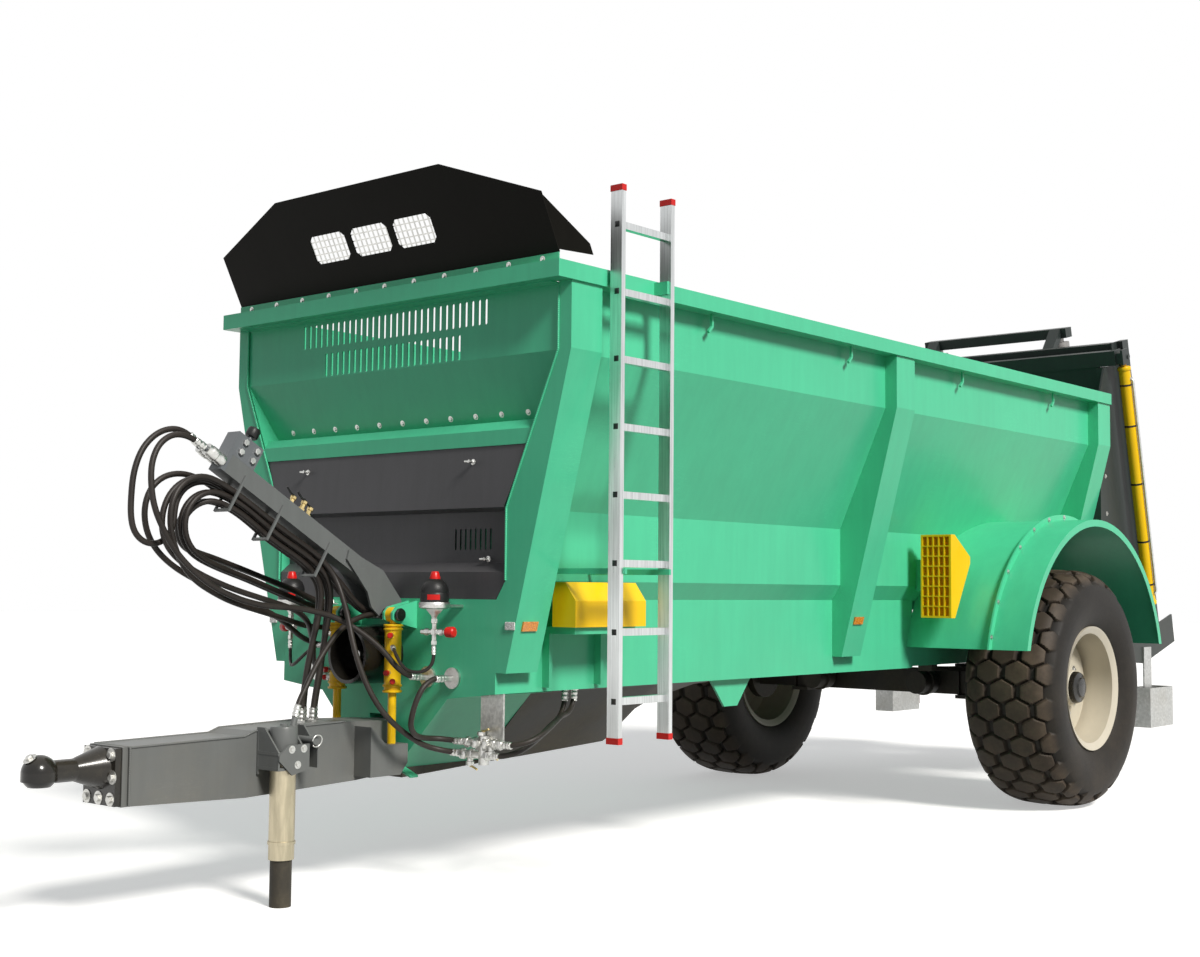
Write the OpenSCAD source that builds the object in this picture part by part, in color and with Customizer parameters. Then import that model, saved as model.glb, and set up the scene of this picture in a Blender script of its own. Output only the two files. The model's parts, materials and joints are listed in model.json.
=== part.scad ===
// Single-axle manure spreader: a funnel tub on a tube chassis, with a sliding rear gate and two upright
// beaters.
// Millimetres. Sizes below count x forward from the front face of the top rail, y to the left and z up
// from the ground.

/* [Tub] */
// Length of the tub along its top rail
tub_l = 5494; // [5300:1:5700]
// Width over the top rails
rail_span = 2208; // [2190:1:2300]
// Width of the top rail's section
rail_w = 85; // [70:1:110]
// Height of the top rail's section
rail_h = 71; // [50:1:100]
// Height of the top rail's underside
rail_z = 2518; // [2450:1:2600]
// Width over the upright upper walls
wall_span = 2044; // [2000:1:2060]
// Height of the upper bend in the walls
wall_bend_z = 2240; // [2150:1:2300]
// Width over the walls below the funnel
waist_span = 1484; // [1440:1:1560]
// Height where the funnel ends
waist_z = 1602; // [1550:1:1650]
// Height where the walls turn in to the sill
skirt_z = 1300; // [1280:1:1400]
// Thickness of wall sheets
wall_t = 6; // [4:0.5:8]
// Set-back of the walls' front edge
wall_front = 100; // [96:1:130]
// Set-back of the lower front wall
front_low_x = 200; // [180:1:260]
// Height of the fold above the front ledge
front_fold_z = 1960; // [1940:1:2000]
// Thickness of the floor plate
floor_t = 8; // [5:0.5:12]

/* [Sills and posts] */
// Width over the sills
sill_span = 1380; // [1340:1:1420]
// Height of the sills' upper edge, which is the floor's upper face
sill_z = 1220; // [1200:1:1240]
// Height of the sills' lower edge
sill_foot_z = 828; // [800:1:850]
// Overlap of the sills with the wheel arches
sill_over = 103; // [80:1:140]
// Depth of the sills' lower lip
sill_lip = 150; // [120:1:180]
// Width of a post along the tub
post_w = 192; // [150:1:220]
// Set-back of the front post
post_front = 92; // [90:1:120]
// Set-back of the middle post
post_mid = 2695; // [2500:1:2800]
// Width over the posts at the rail
post_span = 2184; // [2160:1:2188]
// How far the posts' foot stands outside the waist
post_stand = 7; // [4:1:20]
// Height of the posts' foot
post_foot_z = 916; // [880:1:960]
// Thickness of the posts' sheet
post_t = 6; // [4:0.5:8]

/* [Front] */
// Lean of the splash guard
guard_lean = 27; // [10:1:35]
// Height of the splash guard along its slope
guard_h = 444; // [380:1:520]
// Height of the splash guard's upright ends along its slope
guard_side_h = 246; // [180:1:320]
// Width of the splash guard's foot
guard_span = 2096; // [2000:1:2150]
// Width of the splash guard's top edge
guard_top_span = 1082; // [800:1:1300]
// Height of the guard's upright foot strip
guard_foot_h = 51; // [40:1:80]
// Thickness of the guard's sheet
guard_t = 5; // [4:0.5:8]
// Height of the hood's brow
hood_brow_z = 1864; // [1840:1:1880]
// Height of the hood's lower face
hood_lip_z = 1335; // [1310:1:1360]
// Depth of the recess in the hood
hood_recess = 55; // [30:1:70]
// Half width of the tapered foot below the headstock
nose_half = 96; // [90:1:140]
// Height of the tapered foot's underside
nose_z = 480; // [470:1:520]

/* [Drawbar] */
// Reach of the drawbar's flange in front of the tub
bar_front = 1285; // [1200:1:1400]
// Width of the drawbar
bar_w = 240; // [200:1:280]
// Height of the drawbar's underside at the flange
bar_low_z = 447; // [435:1:460]
// Height of the drawbar at the flange
bar_h = 217; // [190:1:240]
// Radius of the coupling's ball
ball_r = 40; // [38:0.5:42]
// Distance from the drawbar's flange to the ball
ball_reach = 271; // [240:1:320]
// Place of the support leg in front of the tub
leg_x = 606; // [560:1:680]
// Outside radius of the leg's outer tube
leg_r = 51.5; // [45:0.5:60]
// Height of the leg's outer tube above the ground
leg_tube_z = 185; // [150:1:220]
// Upward travel of the leg
leg_travel = 350; // [200:1:380]

/* [Wheels] */
// Place of the axle in front of the tub's rear end
axle_back = 1033; // [1000:1:1100]
// Outside radius of the tyre
tyre_r = 706; // [690:1:720]
// Width of the tyre
tyre_w = 582; // [520:1:600]
// Width over the tyres
tyre_span = 2876; // [2820:1:2940]
// Radius of the rim's flange
rim_r = 366; // [350:1:380]
// Radius of the wheel arch
arch_r = 1000; // [960:1:1010]
// Thickness of the fender's sheet
fender_t = 5; // [4:0.5:8]
// Side of the axle's square beam
axle_side = 150; // [130:1:160]
// Radius of the axle's spindles
spindle_r = 48; // [40:1:52]

/* [Ladder] */
// Set-back of the ladder's front stile
ladder_x = 295; // [290:1:320]
// Width over the stiles
ladder_w = 355; // [320:1:380]
// Distance of the ladder's middle from the tub's middle
ladder_y = 1155; // [1145:1:1180]
// Height of the ladder's foot
ladder_z = 667; // [600:1:720]
// Distance between rungs
rung_pitch = 280; // [250:1:300]
// Depth of a stile
stile_d = 60; // [50:1:70]
// Thickness of a stile
stile_t = 25; // [20:1:30]

/* [Rear] */
// Lean of the gate's guides
gate_lean = 14; // [10:0.5:15]
// Distance of the gate's foot behind the tub's rear end
gate_back = 536; // [526:1:566]
// Upward travel of the gate along its guides
gate_travel = 1400; // [900:1:1450]
// Width of the gate
gate_w = 1924; // [1900:1:1940]
// Distance between the outer faces of the rear side plates
cheek_span = 2044; // [2040:1:2050]
// Thickness of the rear side plates
cheek_t = 12; // [8:1:14]
// Outside radius of the gate's cylinders
lift_r = 38; // [34:1:42]
// Distance between the beaters' axes
beater_gap = 960; // [920:1:1000]
// Distance from the gate to the beaters' axes
beater_u = 500; // [490:1:540]
// Radius of the beaters at the knives' tips
beater_r = 390; // [340:1:400]
// Radius of the throwing discs
disc_r = 430; // [400:1:440]

/* [Hidden] */

$fn = 48;
// Gap between pieces that are fastened face to face
seam = 0.3;
// Gap round a piece that moves beside another
run = 6;
// Gap between a shaft and its bearing
bearing = 0.4;
// Overshoot of a cut past the faces that it goes through
past = 5;

green = [0.18, 0.62, 0.47];
dark = [0.2, 0.2, 0.21];
grey = [0.33, 0.34, 0.35];
yellow = [0.95, 0.72, 0.05];
zinc = [0.72, 0.73, 0.74];
black = [0.08, 0.08, 0.08];

// Half widths of the tub's outline
wall_y = wall_span / 2;
waist_y = waist_span / 2;
sill_y = sill_span / 2;
rail_y = rail_span / 2;
rail_top = rail_z + rail_h;
wall_line = [
    [wall_y, rail_z - seam], [wall_y, wall_bend_z], [waist_y, waist_z], [waist_y, skirt_z], [sill_y, sill_z]
];

// Distances of the axle and the gate's foot behind the front of the tub
axle_x = tub_l - axle_back;
gate_x = tub_l + gate_back;

// Headstock plate and what stands before it
plate_t = 12;
plate_x = -post_front;
nose_deep = 520;
pto_z = 975;

// Coupling
ball_x = bar_front + ball_reach;
ball_z = bar_low_z + bar_h / 2 + 30;
cup_r = ball_r + 25;
leg_y = bar_w / 2 + leg_r + 24;
leg_wall = 7;
leg_in_r = leg_r - leg_wall - 1;
leg_tube_top = 705;

// Wheels
hub_y = tyre_span / 2 - tyre_w / 2;
tyre_in = hub_y - tyre_w / 2;
tyre_out = hub_y + tyre_w / 2;
rim_w = 500;
bead_r = rim_r - 26;
wheel_z = tyre_r;

// Rear unit: u runs forward across the gate, w up along the guides
gate_z = 1200;
gate_t = 25;
gate_foot = 110;
gate_top = 1640;
lift_u = -77;
lift_y = 1104;
lift_w = 1690;
lift_pin_r = 14;
lift_rod_r = 22;
lift_bore_r = lift_r - 7;
lift_foot = -120;
cheek_y = cheek_span / 2;
column_d = 100;
column_u = -300;
rear_drop = -440;
beater_top = 1800;
beater_foot = -190;
disc_w = -280;
core_r = 70;
stub_r = 35;
column_out = 40;

function unit_xz(u, w) = [
    -gate_x + u * cos(gate_lean) + w * sin(gate_lean),
    gate_z - u * sin(gate_lean) + w * cos(gate_lean)
];

// The part's own origin lies on the ground at the middle of its length
rear_x = unit_xz(-beater_u - disc_r, disc_w)[0];
x_mid = (ball_x + cup_r + rear_x) / 2;

module in_frame() translate([-x_mid, 0, 0]) children();
module rear_unit() in_frame() translate([-gate_x, 0, gate_z]) rotate([0, gate_lean, 0]) children();
module both_sides() {
    children();
    mirror([0, 1, 0]) children();
}

// A block between two corners
module block(low, high) translate(low) cube(high - low);
// An outline in y and z, drawn out along x
module along_x(points, x0, x1) translate([x0, 0, 0]) rotate([90, 0,
    90]) linear_extrude(x1 - x0) polygon(points);
// An outline in x and z, drawn out along y
module along_y(points, y0, y1) translate([0, y1, 0]) rotate([90, 0,
    0]) linear_extrude(y1 - y0) polygon(points);
// Round bars along each axis
module bar_x(r, x0, x1) translate([x0, 0, 0]) rotate([0, 90, 0]) cylinder(r = r, h = x1 - x0);
module bar_y(r, y0, y1) translate([0, y0, 0]) rotate([-90, 0, 0]) cylinder(r = r, h = y1 - y0);
module bar_z(r, z0, z1) translate([0, 0, z0]) cylinder(r = r, h = z1 - z0);
// A square tube along x or y
module tube_x(x0, x1, y0, y1, z0, z1, t) difference() {
    block([x0, y0, z0], [x1, y1, z1]);
    block([x0 - past, y0 + t, z0 + t], [x1 + past, y1 - t, z1 - t]);
}
module tube_y(x0, x1, y0, y1, z0, z1, t) difference() {
    block([x0, y0, z0], [x1, y1, z1]);
    block([x0 + t, y0 - past, z0 + t], [x1 - t, y1 + past, z1 - t]);
}

function shifted(points, dx, dy) = [for (p = points) [p[0] + dx, p[1] + dy]];
function reversed(points) = [for (i = [len(points) - 1:-1:0]) points[i]];
function mirrored(points) = [for (p = points) [-p[0], p[1]]];

// Mitred side step of a bend, for a sheet of thickness t on the left of its path
function unit_vec(v) = v / norm(v);
function left_of(v) = [-v[1], v[0]];
function step_at(path, i, t) = let (
    a = i > 0 ? unit_vec(path[i] - path[i - 1]) : unit_vec(path[1] - path[0]),
    b = i < len(path) - 1 ? unit_vec(path[i + 1] - path[i]) : a,
    m = unit_vec(left_of(a) + left_of(b))
) m * t / (m * left_of(a));
function sheet(path, t) = concat(path, reversed([for (i = [0:len(path) - 1]) path[i] + step_at(path, i, t)]));

// The closed outline of the tub, grown sideways by d
function tub_outline(d) = concat(shifted(wall_line, d, 0), reversed(mirrored(shifted(wall_line, d, 0))));

module side_wall() in_frame()
    along_x(concat(wall_line, reversed(shifted(wall_line, -wall_t, 0))), -tub_l, -wall_front);
module side_wall_left() color(green) side_wall();
module side_wall_right() color(green) mirror([0, 1, 0]) side_wall();

// Upright slots in rows across the front wall's upper panel
slot_w = 16;
slot_h = 110;
slot_pitch = 40;
slot_rows = [[2300, 11], [2440, 15]];
module slot(w, h) union() {
    square([w, h - w], center = true);
    for (s = [-1, 1])
        translate([0, s * (h - w) / 2]) circle(d = w, $fn = 24);
}
ledge_h = 64;
module front_wall() color(green) in_frame() difference() {
    intersection() {
        union() {
            along_y(sheet([
                [-rail_w / 2, rail_z - seam - wall_t], [-wall_front, rail_z - seam - wall_t],
                [-wall_front, wall_bend_z], [-front_low_x, front_fold_z], [-front_low_x, skirt_z]
            ], -wall_t), -wall_y, wall_y);
            along_y(sheet([
                [-front_low_x - 1, hood_brow_z + seam + ledge_h], [plate_x, hood_brow_z + seam + ledge_h],
                [plate_x, hood_brow_z + seam], [-front_low_x - 1, hood_brow_z + seam]
            ], -wall_t), -wall_y, wall_y);
        }
        along_x(tub_outline(-wall_t - seam), -tub_l, 0);
    }
    for (row = slot_rows, i = [-row[1]:row[1]])
        translate([-wall_front - wall_t - past, i * slot_pitch, row[0]])
            rotate([90, 0, 90]) linear_extrude(wall_t + 2 * past) slot(slot_w, slot_h);
}

// The floor ends short of the front wall, where the chains come up
chain_front = 345;
chain_rear = gate_x - 80;
chain_r = 80;
chain_t = 20;
chain_w = 60;
chain_y = 420;
slat_h = 40;
slat_w = 50;
slat_pitch = 450;
chain_z = sill_z + seam - chain_r;
// The floor's ends stay clear of the sprockets by this much
floor_end = 45;
// Slats on the lower run pass between the joists' spacers and reach this far over the rails
slat_over = 10;
module floor_plate() color(green) in_frame()
    block([-chain_rear + floor_end, -sill_y + wall_t + seam, sill_z - floor_t],
        [-chain_front - floor_end, sill_y - wall_t - seam, sill_z]);

// Two chains round the floor, with cross slats on the upper and the lower run
module chain_loop(r) union() {
    translate([-chain_rear, chain_z - r]) square([chain_rear - chain_front, 2 * r]);
    translate([-chain_rear, chain_z]) circle(r);
    translate([-chain_front, chain_z]) circle(r);
}
module scraper_floor() color(grey) in_frame() union() {
    for (s = [-1, 1])
        translate([0, s * chain_y + chain_w / 2, 0]) rotate([90, 0, 0]) linear_extrude(chain_w) difference() {
            chain_loop(chain_r + chain_t);
            chain_loop(chain_r);
        }
    for (x = [chain_front:slat_pitch:chain_rear], side = [-1, 1])
        translate([-x, 0, chain_z + side * (chain_r + chain_t / 2 + slat_h / 2)])
            cube([slat_w, 2 * (frame_in + slat_over), slat_h], center = true);
    for (x = [chain_front, chain_rear])
        translate([-x, 0, chain_z]) bar_y(chain_r / 2, -chain_y, chain_y);
    for (x = [chain_front, chain_rear], s = [-1, 1])
        translate([-x, s * chain_y, chain_z]) bar_y(chain_r + 1, -chain_w / 4, chain_w / 4);
}

module top_rail() color(green) in_frame() union() {
    both_sides() block([-tub_l, rail_y - rail_w, rail_z], [0, rail_y, rail_top]);
    block([-rail_w, -rail_y, rail_z], [0, rail_y, rail_top]);
    block([-guard_x - guard_t, -guard_y, rail_top - 1], [-guard_x, guard_y,
        rail_top + guard_foot_h - guard_sunk - seam]);
}

// A post is a folded channel that closes on the wall and is open at its foot
post_y = post_span / 2;
post_foot_y = waist_y + post_stand;
post_slope = (post_y - post_foot_y) / (wall_bend_z - post_foot_z);
function post_outside(d, low) = [
    [post_y - d, rail_z - seam - d], [post_y - d, wall_bend_z], [post_foot_y - d - low * post_slope,
        post_foot_z - low]
];
post_back = concat([[sill_y + seam, post_foot_z]], reversed(shifted(wall_line, seam, 0)));
post_core = concat([[sill_y + seam, post_foot_z - past]], reversed(shifted(wall_line, seam, 0)));
module post(x) difference() {
    along_x(concat(post_outside(0, 0), post_back), -x - post_w, -x);
    along_x(concat(post_outside(post_t, past), post_core), -x - post_w + post_t, -x - post_t);
}
module posts() color(green) in_frame() both_sides() {
    post(post_front);
    post(post_mid);
    post(tub_l - post_w);
}

// Sills are sheets with a lip that carries the chassis rails
sill_front = post_front + plate_t;
sill_rear = axle_x - arch_r + sill_over;
// A plate below each lip, for a stay
stay_x = 1817;
stay_top = 340;
stay_foot = 110;
stay_h = 135;
stay_t = 12;
stay_in = 40;
module sills() color(green) in_frame() both_sides() union() {
    along_x(sheet([
        [sill_y, sill_z - seam], [sill_y, sill_foot_z], [sill_y - sill_lip, sill_foot_z]
    ], -wall_t), -sill_rear, -sill_front - seam);
    along_y([
        [-stay_x - stay_top / 2, sill_foot_z + 1], [-stay_x + stay_top / 2, sill_foot_z + 1],
        [-stay_x + stay_foot / 2, sill_foot_z - stay_h], [-stay_x - stay_foot / 2, sill_foot_z - stay_h]
    ], sill_y - stay_in - stay_t, sill_y - stay_in);
}

// Two rails on the sills' lips, with cross members below the floor and between the rails
frame_t = 8;
frame_z = sill_foot_z + wall_t + seam;
frame_h = 160;
frame_out = sill_y - wall_t - 30;
frame_in = frame_out - 100;
frame_rear = gate_x + 50;
joist_h = 52;
joist_w = 80;
joist_pitch = 680;
tie_x = [1500, 2800, axle_x - 761, axle_x + 739, gate_x - 30];
module chassis() color(green) in_frame() union() {
    both_sides() tube_x(-frame_rear, -sill_front - nose_deep, frame_in, frame_out, frame_z,
        frame_z + frame_h, frame_t);
    for (x = tie_x)
        tube_y(-x - joist_w, -x, -frame_in - frame_t / 2, frame_in + frame_t / 2, frame_z, frame_z + 100,
            frame_t);
    for (x = [chain_front + 150:joist_pitch:chain_rear - 200])
        tube_y(-x - joist_w, -x, -sill_y + wall_t + seam, sill_y - wall_t - seam,
            sill_z - floor_t - seam - joist_h, sill_z - floor_t - seam, frame_t / 2);
    for (x = [chain_front + 150:joist_pitch:chain_rear - 200])
        both_sides() block([-x - joist_w, frame_in + 20, frame_z + frame_h - 1],
            [-x, frame_in + 30, sill_z - floor_t - seam - joist_h + 1]);
}

// Front plate with a tapered foot, closed behind by bent side sheets
nose_shoulder = 410;
nose_top_z = 796;
plate_hole_r = 32;
plate_holes = [[444, 885], [293, 885]];
pto_hole_r = 90;
nose_edge = [[sill_y, sill_foot_z], [nose_shoulder, nose_top_z], [nose_half, nose_z]];
// The side sheets start where the sills' lips end
lip_end = sill_y - sill_lip;
nose_side = [
    [lip_end, sill_foot_z - (sill_foot_z - nose_top_z) * sill_lip / (sill_y - nose_shoulder)],
    [nose_shoulder, nose_top_z], [nose_half, nose_z]
];
// Cheeks beside the drawbar's tail and lugs for the drawbar's cylinders
tail_cheek_z = 720;
draw_x = 15;
draw_y = 180;
draw_top = 1150;
draw_lug_t = 12;
draw_eye_half = 20;
draw_pin_r = 14;
draw_lug = [
    [plate_x - 1, draw_top - 60], [plate_x - 1, draw_top + 60], [draw_x + 10, draw_top + 34],
    [draw_x + 34, draw_top + 10], [draw_x + 34, draw_top - 20], [draw_x + 10, draw_top - 34]
];
module headstock() color(green) in_frame() difference() {
    union() {
        along_x(concat([[sill_y, sill_z - seam]], nose_edge,
            reversed(mirrored(concat([[sill_y, sill_z - seam]], nose_edge)))), plate_x - plate_t, plate_x);
        both_sides() along_x(sheet(nose_side, -plate_t), plate_x - nose_deep, plate_x - 1);
        both_sides() block([plate_x - nose_deep, nose_half - plate_t, nose_z], [plate_x - 1, nose_half,
            tail_cheek_z]);
        both_sides() for (y = [draw_y - draw_eye_half - seam - draw_lug_t, draw_y + draw_eye_half + seam])
            along_y(draw_lug, y, y + draw_lug_t);
        both_sides() translate([draw_x, draw_y, draw_top])
            bar_y(draw_pin_r, -draw_eye_half - draw_lug_t - 4, draw_eye_half + draw_lug_t + 4);
    }
    for (h = plate_holes, s = [-1, 1])
        translate([plate_x, s * h[0], h[1]]) bar_x(plate_hole_r, -plate_t - past, past);
    translate([plate_x, 0, pto_z]) bar_x(pto_hole_r, -plate_t - past, past);
    both_sides() block([plate_x - plate_t - past, -past, nose_z - past], [plate_x + past,
        nose_half - plate_t, nose_z + 230]);
}

// The hood is one folded sheet between the front posts, under the ledge
hood_t = 4;
louvre_w = 10;
louvre_h = 90;
louvre_pitch = 30;
louvre_n = 8;
louvre_y = 600;
hood_path = [
    [plate_x - 90, hood_brow_z], [plate_x - 6, hood_brow_z], [plate_x + 14, 1604], [plate_x - hood_recess,
        1590],
    [plate_x - hood_recess, hood_lip_z + 40], [plate_x - 4, hood_lip_z], [plate_x - 4, sill_z + seam]
];
module hood() color(dark) in_frame() union() {
    difference() {
        intersection() {
            along_y(sheet(hood_path, -hood_t), -wall_y, wall_y);
            along_x(tub_outline(-wall_t - seam), -tub_l, past * 20);
        }
        for (i = [0:louvre_n - 1])
            translate([plate_x - hood_recess - hood_t - past, louvre_y - i * louvre_pitch, hood_lip_z + 140])
                rotate([90, 0, 90]) linear_extrude(hood_t + 2 * past) slot(louvre_w, louvre_h);
    }
}

guard_x = 60;
module guard_frame() in_frame() translate([-guard_x, 0, rail_top + guard_foot_h]) rotate([0, guard_lean,
    0]) children();
guard_y = guard_span / 2;
guard_top_y = guard_top_span / 2;
window_w = 240;
window_h = 130;
window_pitch = 280;
window_z = 190;
window_n = 3;
// A window has its corners taken off
window_cut = 22;
module guard_window() polygon([
    [-window_w / 2, -window_h / 2 + window_cut], [-window_w / 2 + window_cut, -window_h / 2],
    [window_w / 2 - window_cut, -window_h / 2], [window_w / 2, -window_h / 2 + window_cut],
    [window_w / 2, window_h / 2 - window_cut], [window_w / 2 - window_cut, window_h / 2],
    [-window_w / 2 + window_cut, window_h / 2], [-window_w / 2, window_h / 2 - window_cut]
]);
// A wing is a flat plate that is folded back from the guard's upright end
wing_end = 49;
wing_bite = 8;
wing_fold = 65.5;
wing_reach = 145;
wing_drop = 72;
wing_step = 4;
module guard_wing() translate([-guard_t / 2, guard_y - wing_bite, 0]) rotate([0, 0, wing_fold]) along_x([
    [0, wing_step], [0, guard_side_h - wing_step],
    [wing_reach, wing_end - wing_drop], [wing_reach, -wing_drop]
], 0, guard_t);
// The plate runs down behind the rail's upstand, where a flange carries it
guard_sunk = 8;
module splash_guard() color(black) union() {
    difference() {
        guard_frame() along_x([
            [guard_y, -guard_sunk], [guard_y, guard_side_h], [guard_top_y, guard_h],
            [-guard_top_y, guard_h], [-guard_y, guard_side_h], [-guard_y, -guard_sunk]
        ], -guard_t, 0);
        guard_frame() for (i = [-1:window_n - 2])
            translate([-guard_t - past, i * window_pitch, window_z])
                rotate([90, 0, 90]) linear_extrude(guard_t + 2 * past) guard_window();
    }
    in_frame() block([-guard_x - 2 * guard_t - seam, -guard_y + wing_step, rail_top + seam],
        [-guard_x - guard_t - seam, guard_y - wing_step, rail_top + guard_foot_h - guard_sunk / 2]);
    guard_frame() both_sides() guard_wing();
}
wire_r = 2.5;
wire_pitch = 30;
mesh_w = window_pitch * window_n + 20;
mesh_h = window_h + 40;
module guard_mesh() color(zinc) guard_frame() translate([-guard_t - seam - 2 * wire_r, 0, window_z]) union() {
    for (y = [-mesh_w / 2:wire_pitch:mesh_w / 2])
        block([0, y - wire_r, -mesh_h / 2], [2 * wire_r, y + wire_r, mesh_h / 2]);
    for (z = [-mesh_h / 2 + wire_r:wire_pitch:mesh_h / 2])
        block([0, -mesh_w / 2 - wire_r, z - wire_r], [2 * wire_r, mesh_w / 2 + wire_r, z + wire_r]);
}

// Drawbar: a box beam with a raised rear half and a tail to its pivot below the tub
bar_t = 10;
bar_bend = 731;
bar_rear = -500;
function bar_side(i) = [
    [bar_front - 24 - i, bar_low_z + i], [bar_front - 24 - i, bar_low_z + bar_h - i], [740,
        bar_low_z + bar_h + 8 - i],
    [690, bar_low_z + bar_h + 26 - i], [226, bar_low_z + bar_h + 37 - i], [bar_rear + i,
        bar_low_z + bar_h + 10 - i],
    [bar_rear + i, bar_low_z + 60 + i], [164, bar_low_z + 4 + i], [bar_bend, bar_low_z - 17 + i]
];
bar_inner_half = nose_half - plate_t - 8;
bar_tail_x = plate_x + 40;
rod_seat_z = 600;
module drawbar() color(grey) in_frame() union() {
    difference() {
        along_y(bar_side(0), -bar_w / 2, bar_w / 2);
        along_y(bar_side(bar_t), -bar_w / 2 + bar_t, bar_w / 2 - bar_t);
        both_sides() block([bar_rear - past, bar_inner_half, bar_low_z - 50], [bar_tail_x, bar_w,
            bar_low_z + 300]);
    }
    both_sides() along_y([
        [-40, 520], [-40, rod_seat_z], [80, rod_seat_z], [170, 680], [170, 470], [0, 470]
    ], bar_w / 2 - 1, bar_w / 2 + 105);
    translate([bar_rear + 60, 0, bar_low_z + 140]) bar_y(25, -nose_half + plate_t + seam,
        nose_half - plate_t - seam);
    block([bar_front - 25, -110, bar_low_z - 2], [bar_front - seam, 110, bar_low_z + bar_h + 2]);
}

// Ball coupling on its flange
module coupling() color(black) in_frame() difference() {
    union() {
        block([bar_front, -105, bar_low_z + 2], [bar_front + 26, 105, bar_low_z + bar_h - 2]);
        translate([bar_front + 26, 0, ball_z]) rotate([0, 90, 0]) cylinder(r1 = 80, r2 = 42, h = 110);
        translate([0, 0, ball_z]) bar_x(42, bar_front + 100, ball_x);
        translate([ball_x, 0, ball_z]) sphere(cup_r);
        translate([ball_x, 0, 0]) bar_z(cup_r, ball_z - 30, ball_z);
    }
    translate([ball_x, 0, ball_z]) sphere(ball_r + bearing);
    translate([ball_x, 0, 0]) bar_z(ball_r + bearing, ball_z - cup_r - past, ball_z);
}

// Support leg: a bracket on the drawbar, a tube and a foot that slides up into it
bracket_half = 75;
bracket_z = [520, 690];
collar_z = [540, 600];
collar_t = 12;
ear_x = [-130, -66, 66];
ear_t = 8;
ear_top = 706;
bracket_out = leg_y + leg_r + 12;
module leg_ear() along_x([
    [bar_w / 2 + seam, collar_z[0]], [bar_w / 2 + seam, ear_top], [bar_w / 2 + 46, ear_top],
    [bracket_out, collar_z[1] + collar_t], [bracket_out, collar_z[0]]
], 0, ear_t);
module leg_bracket() color(grey) in_frame() difference() {
    union() {
        block([leg_x - bracket_half, bar_w / 2 + seam, bracket_z[0]], [leg_x + bracket_half,
            bar_w / 2 + collar_t, bracket_z[1]]);
        for (z = collar_z)
            block([leg_x - bracket_half, bar_w / 2 + seam, z], [leg_x + bracket_half, bracket_out,
                z + collar_t]);
        for (x = ear_x)
            translate([leg_x + x, 0, 0]) leg_ear();
        block([leg_x - 130, bar_w / 2 + seam, collar_z[0]], [leg_x - bracket_half + 1,
            bar_w / 2 + collar_t, ear_top]);
        translate([leg_x - 100, leg_y, 650]) bar_y(16, bar_w / 2 + seam - leg_y, 80);
        along_y([
            [leg_x - bracket_half, collar_z[0]], [leg_x - bracket_half, collar_z[1] + 40], [leg_x + 30,
                collar_z[1] + 40],
            [leg_x + bracket_half, collar_z[1]], [leg_x + bracket_half, collar_z[1] - 20], [leg_x + 10,
                collar_z[0] - 20]
        ], bracket_out - 1, bracket_out + ear_t);
        nipple_end(hose_route_5, 60);
    }
    translate([leg_x, leg_y, 0]) bar_z(leg_r + seam, 400, 900);
}
module leg_tube() color(zinc) in_frame() translate([leg_x, leg_y, 0]) difference() {
    union() {
        bar_z(leg_r, leg_tube_z, leg_tube_top);
        bar_z(leg_r + 4, leg_tube_z + 60, leg_tube_z + 72);
    }
    bar_z(leg_r - leg_wall, leg_tube_z - past, leg_tube_top - 10);
}
module leg_foot() color(dark) in_frame() translate([leg_x, leg_y, 0]) bar_z(leg_in_r, 0,
    leg_tube_top - 20 - leg_travel);

// Cylinders between the headstock and the drawbar
draw_low = 820;
module drawbar_cylinders() color(yellow) in_frame() both_sides() translate([draw_x, draw_y, 0]) difference() {
    union() {
        bar_z(36, draw_low, draw_top - 45);
        bar_z(18, rod_seat_z + seam, draw_low + 1);
        translate([0, 0, draw_top]) bar_y(32, -draw_eye_half, draw_eye_half);
        bar_z(16, draw_top - 60, draw_top);
    }
    translate([0, 0, draw_top]) bar_y(draw_pin_r + bearing, -draw_eye_half - past, draw_eye_half + past);
}

// Gas accumulators, each on a clamp that stands off the headstock
acc_x = 50;
acc_y = 470;
acc_r = 60;
acc_z = 1215;
module accumulators() color(black) in_frame() both_sides() translate([acc_x, acc_y, 0]) {
    bar_z(acc_r + 6, acc_z - 30, acc_z);
    bar_z(acc_r, acc_z - 1, acc_z + 50);
    translate([0, 0, acc_z + 49]) cylinder(r1 = acc_r, r2 = 26, h = 36);
    translate([0, 0, acc_z + 84]) cylinder(r1 = 22, r2 = 17, h = 34);
    translate([0, 0, acc_z - 69]) cylinder(r1 = 16, r2 = acc_r - 14, h = 40);
    bar_z(13, acc_z - 200, acc_z - 68);
    block([plate_x - acc_x + seam, -20, acc_z - 28], [0, 20, acc_z - 4]);
}

// Axle, springs and brakes
module axle_beam() color(dark) in_frame() translate([-axle_x, 0, wheel_z]) union() {
    block([-axle_side / 2, -hub_y + 190, -axle_side / 2], [axle_side / 2, hub_y - 190, axle_side / 2]);
    both_sides() bar_y(spindle_r, hub_y - 200, hub_y + 20);
    both_sides() bar_y(170, hub_y - 200, hub_y - 150);
}
spring_y = frame_in + 50;
spring_r = 8000;
spring_half = 560;
spring_t = 14;
spring_z = wheel_z + axle_side / 2 + seam;
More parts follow.
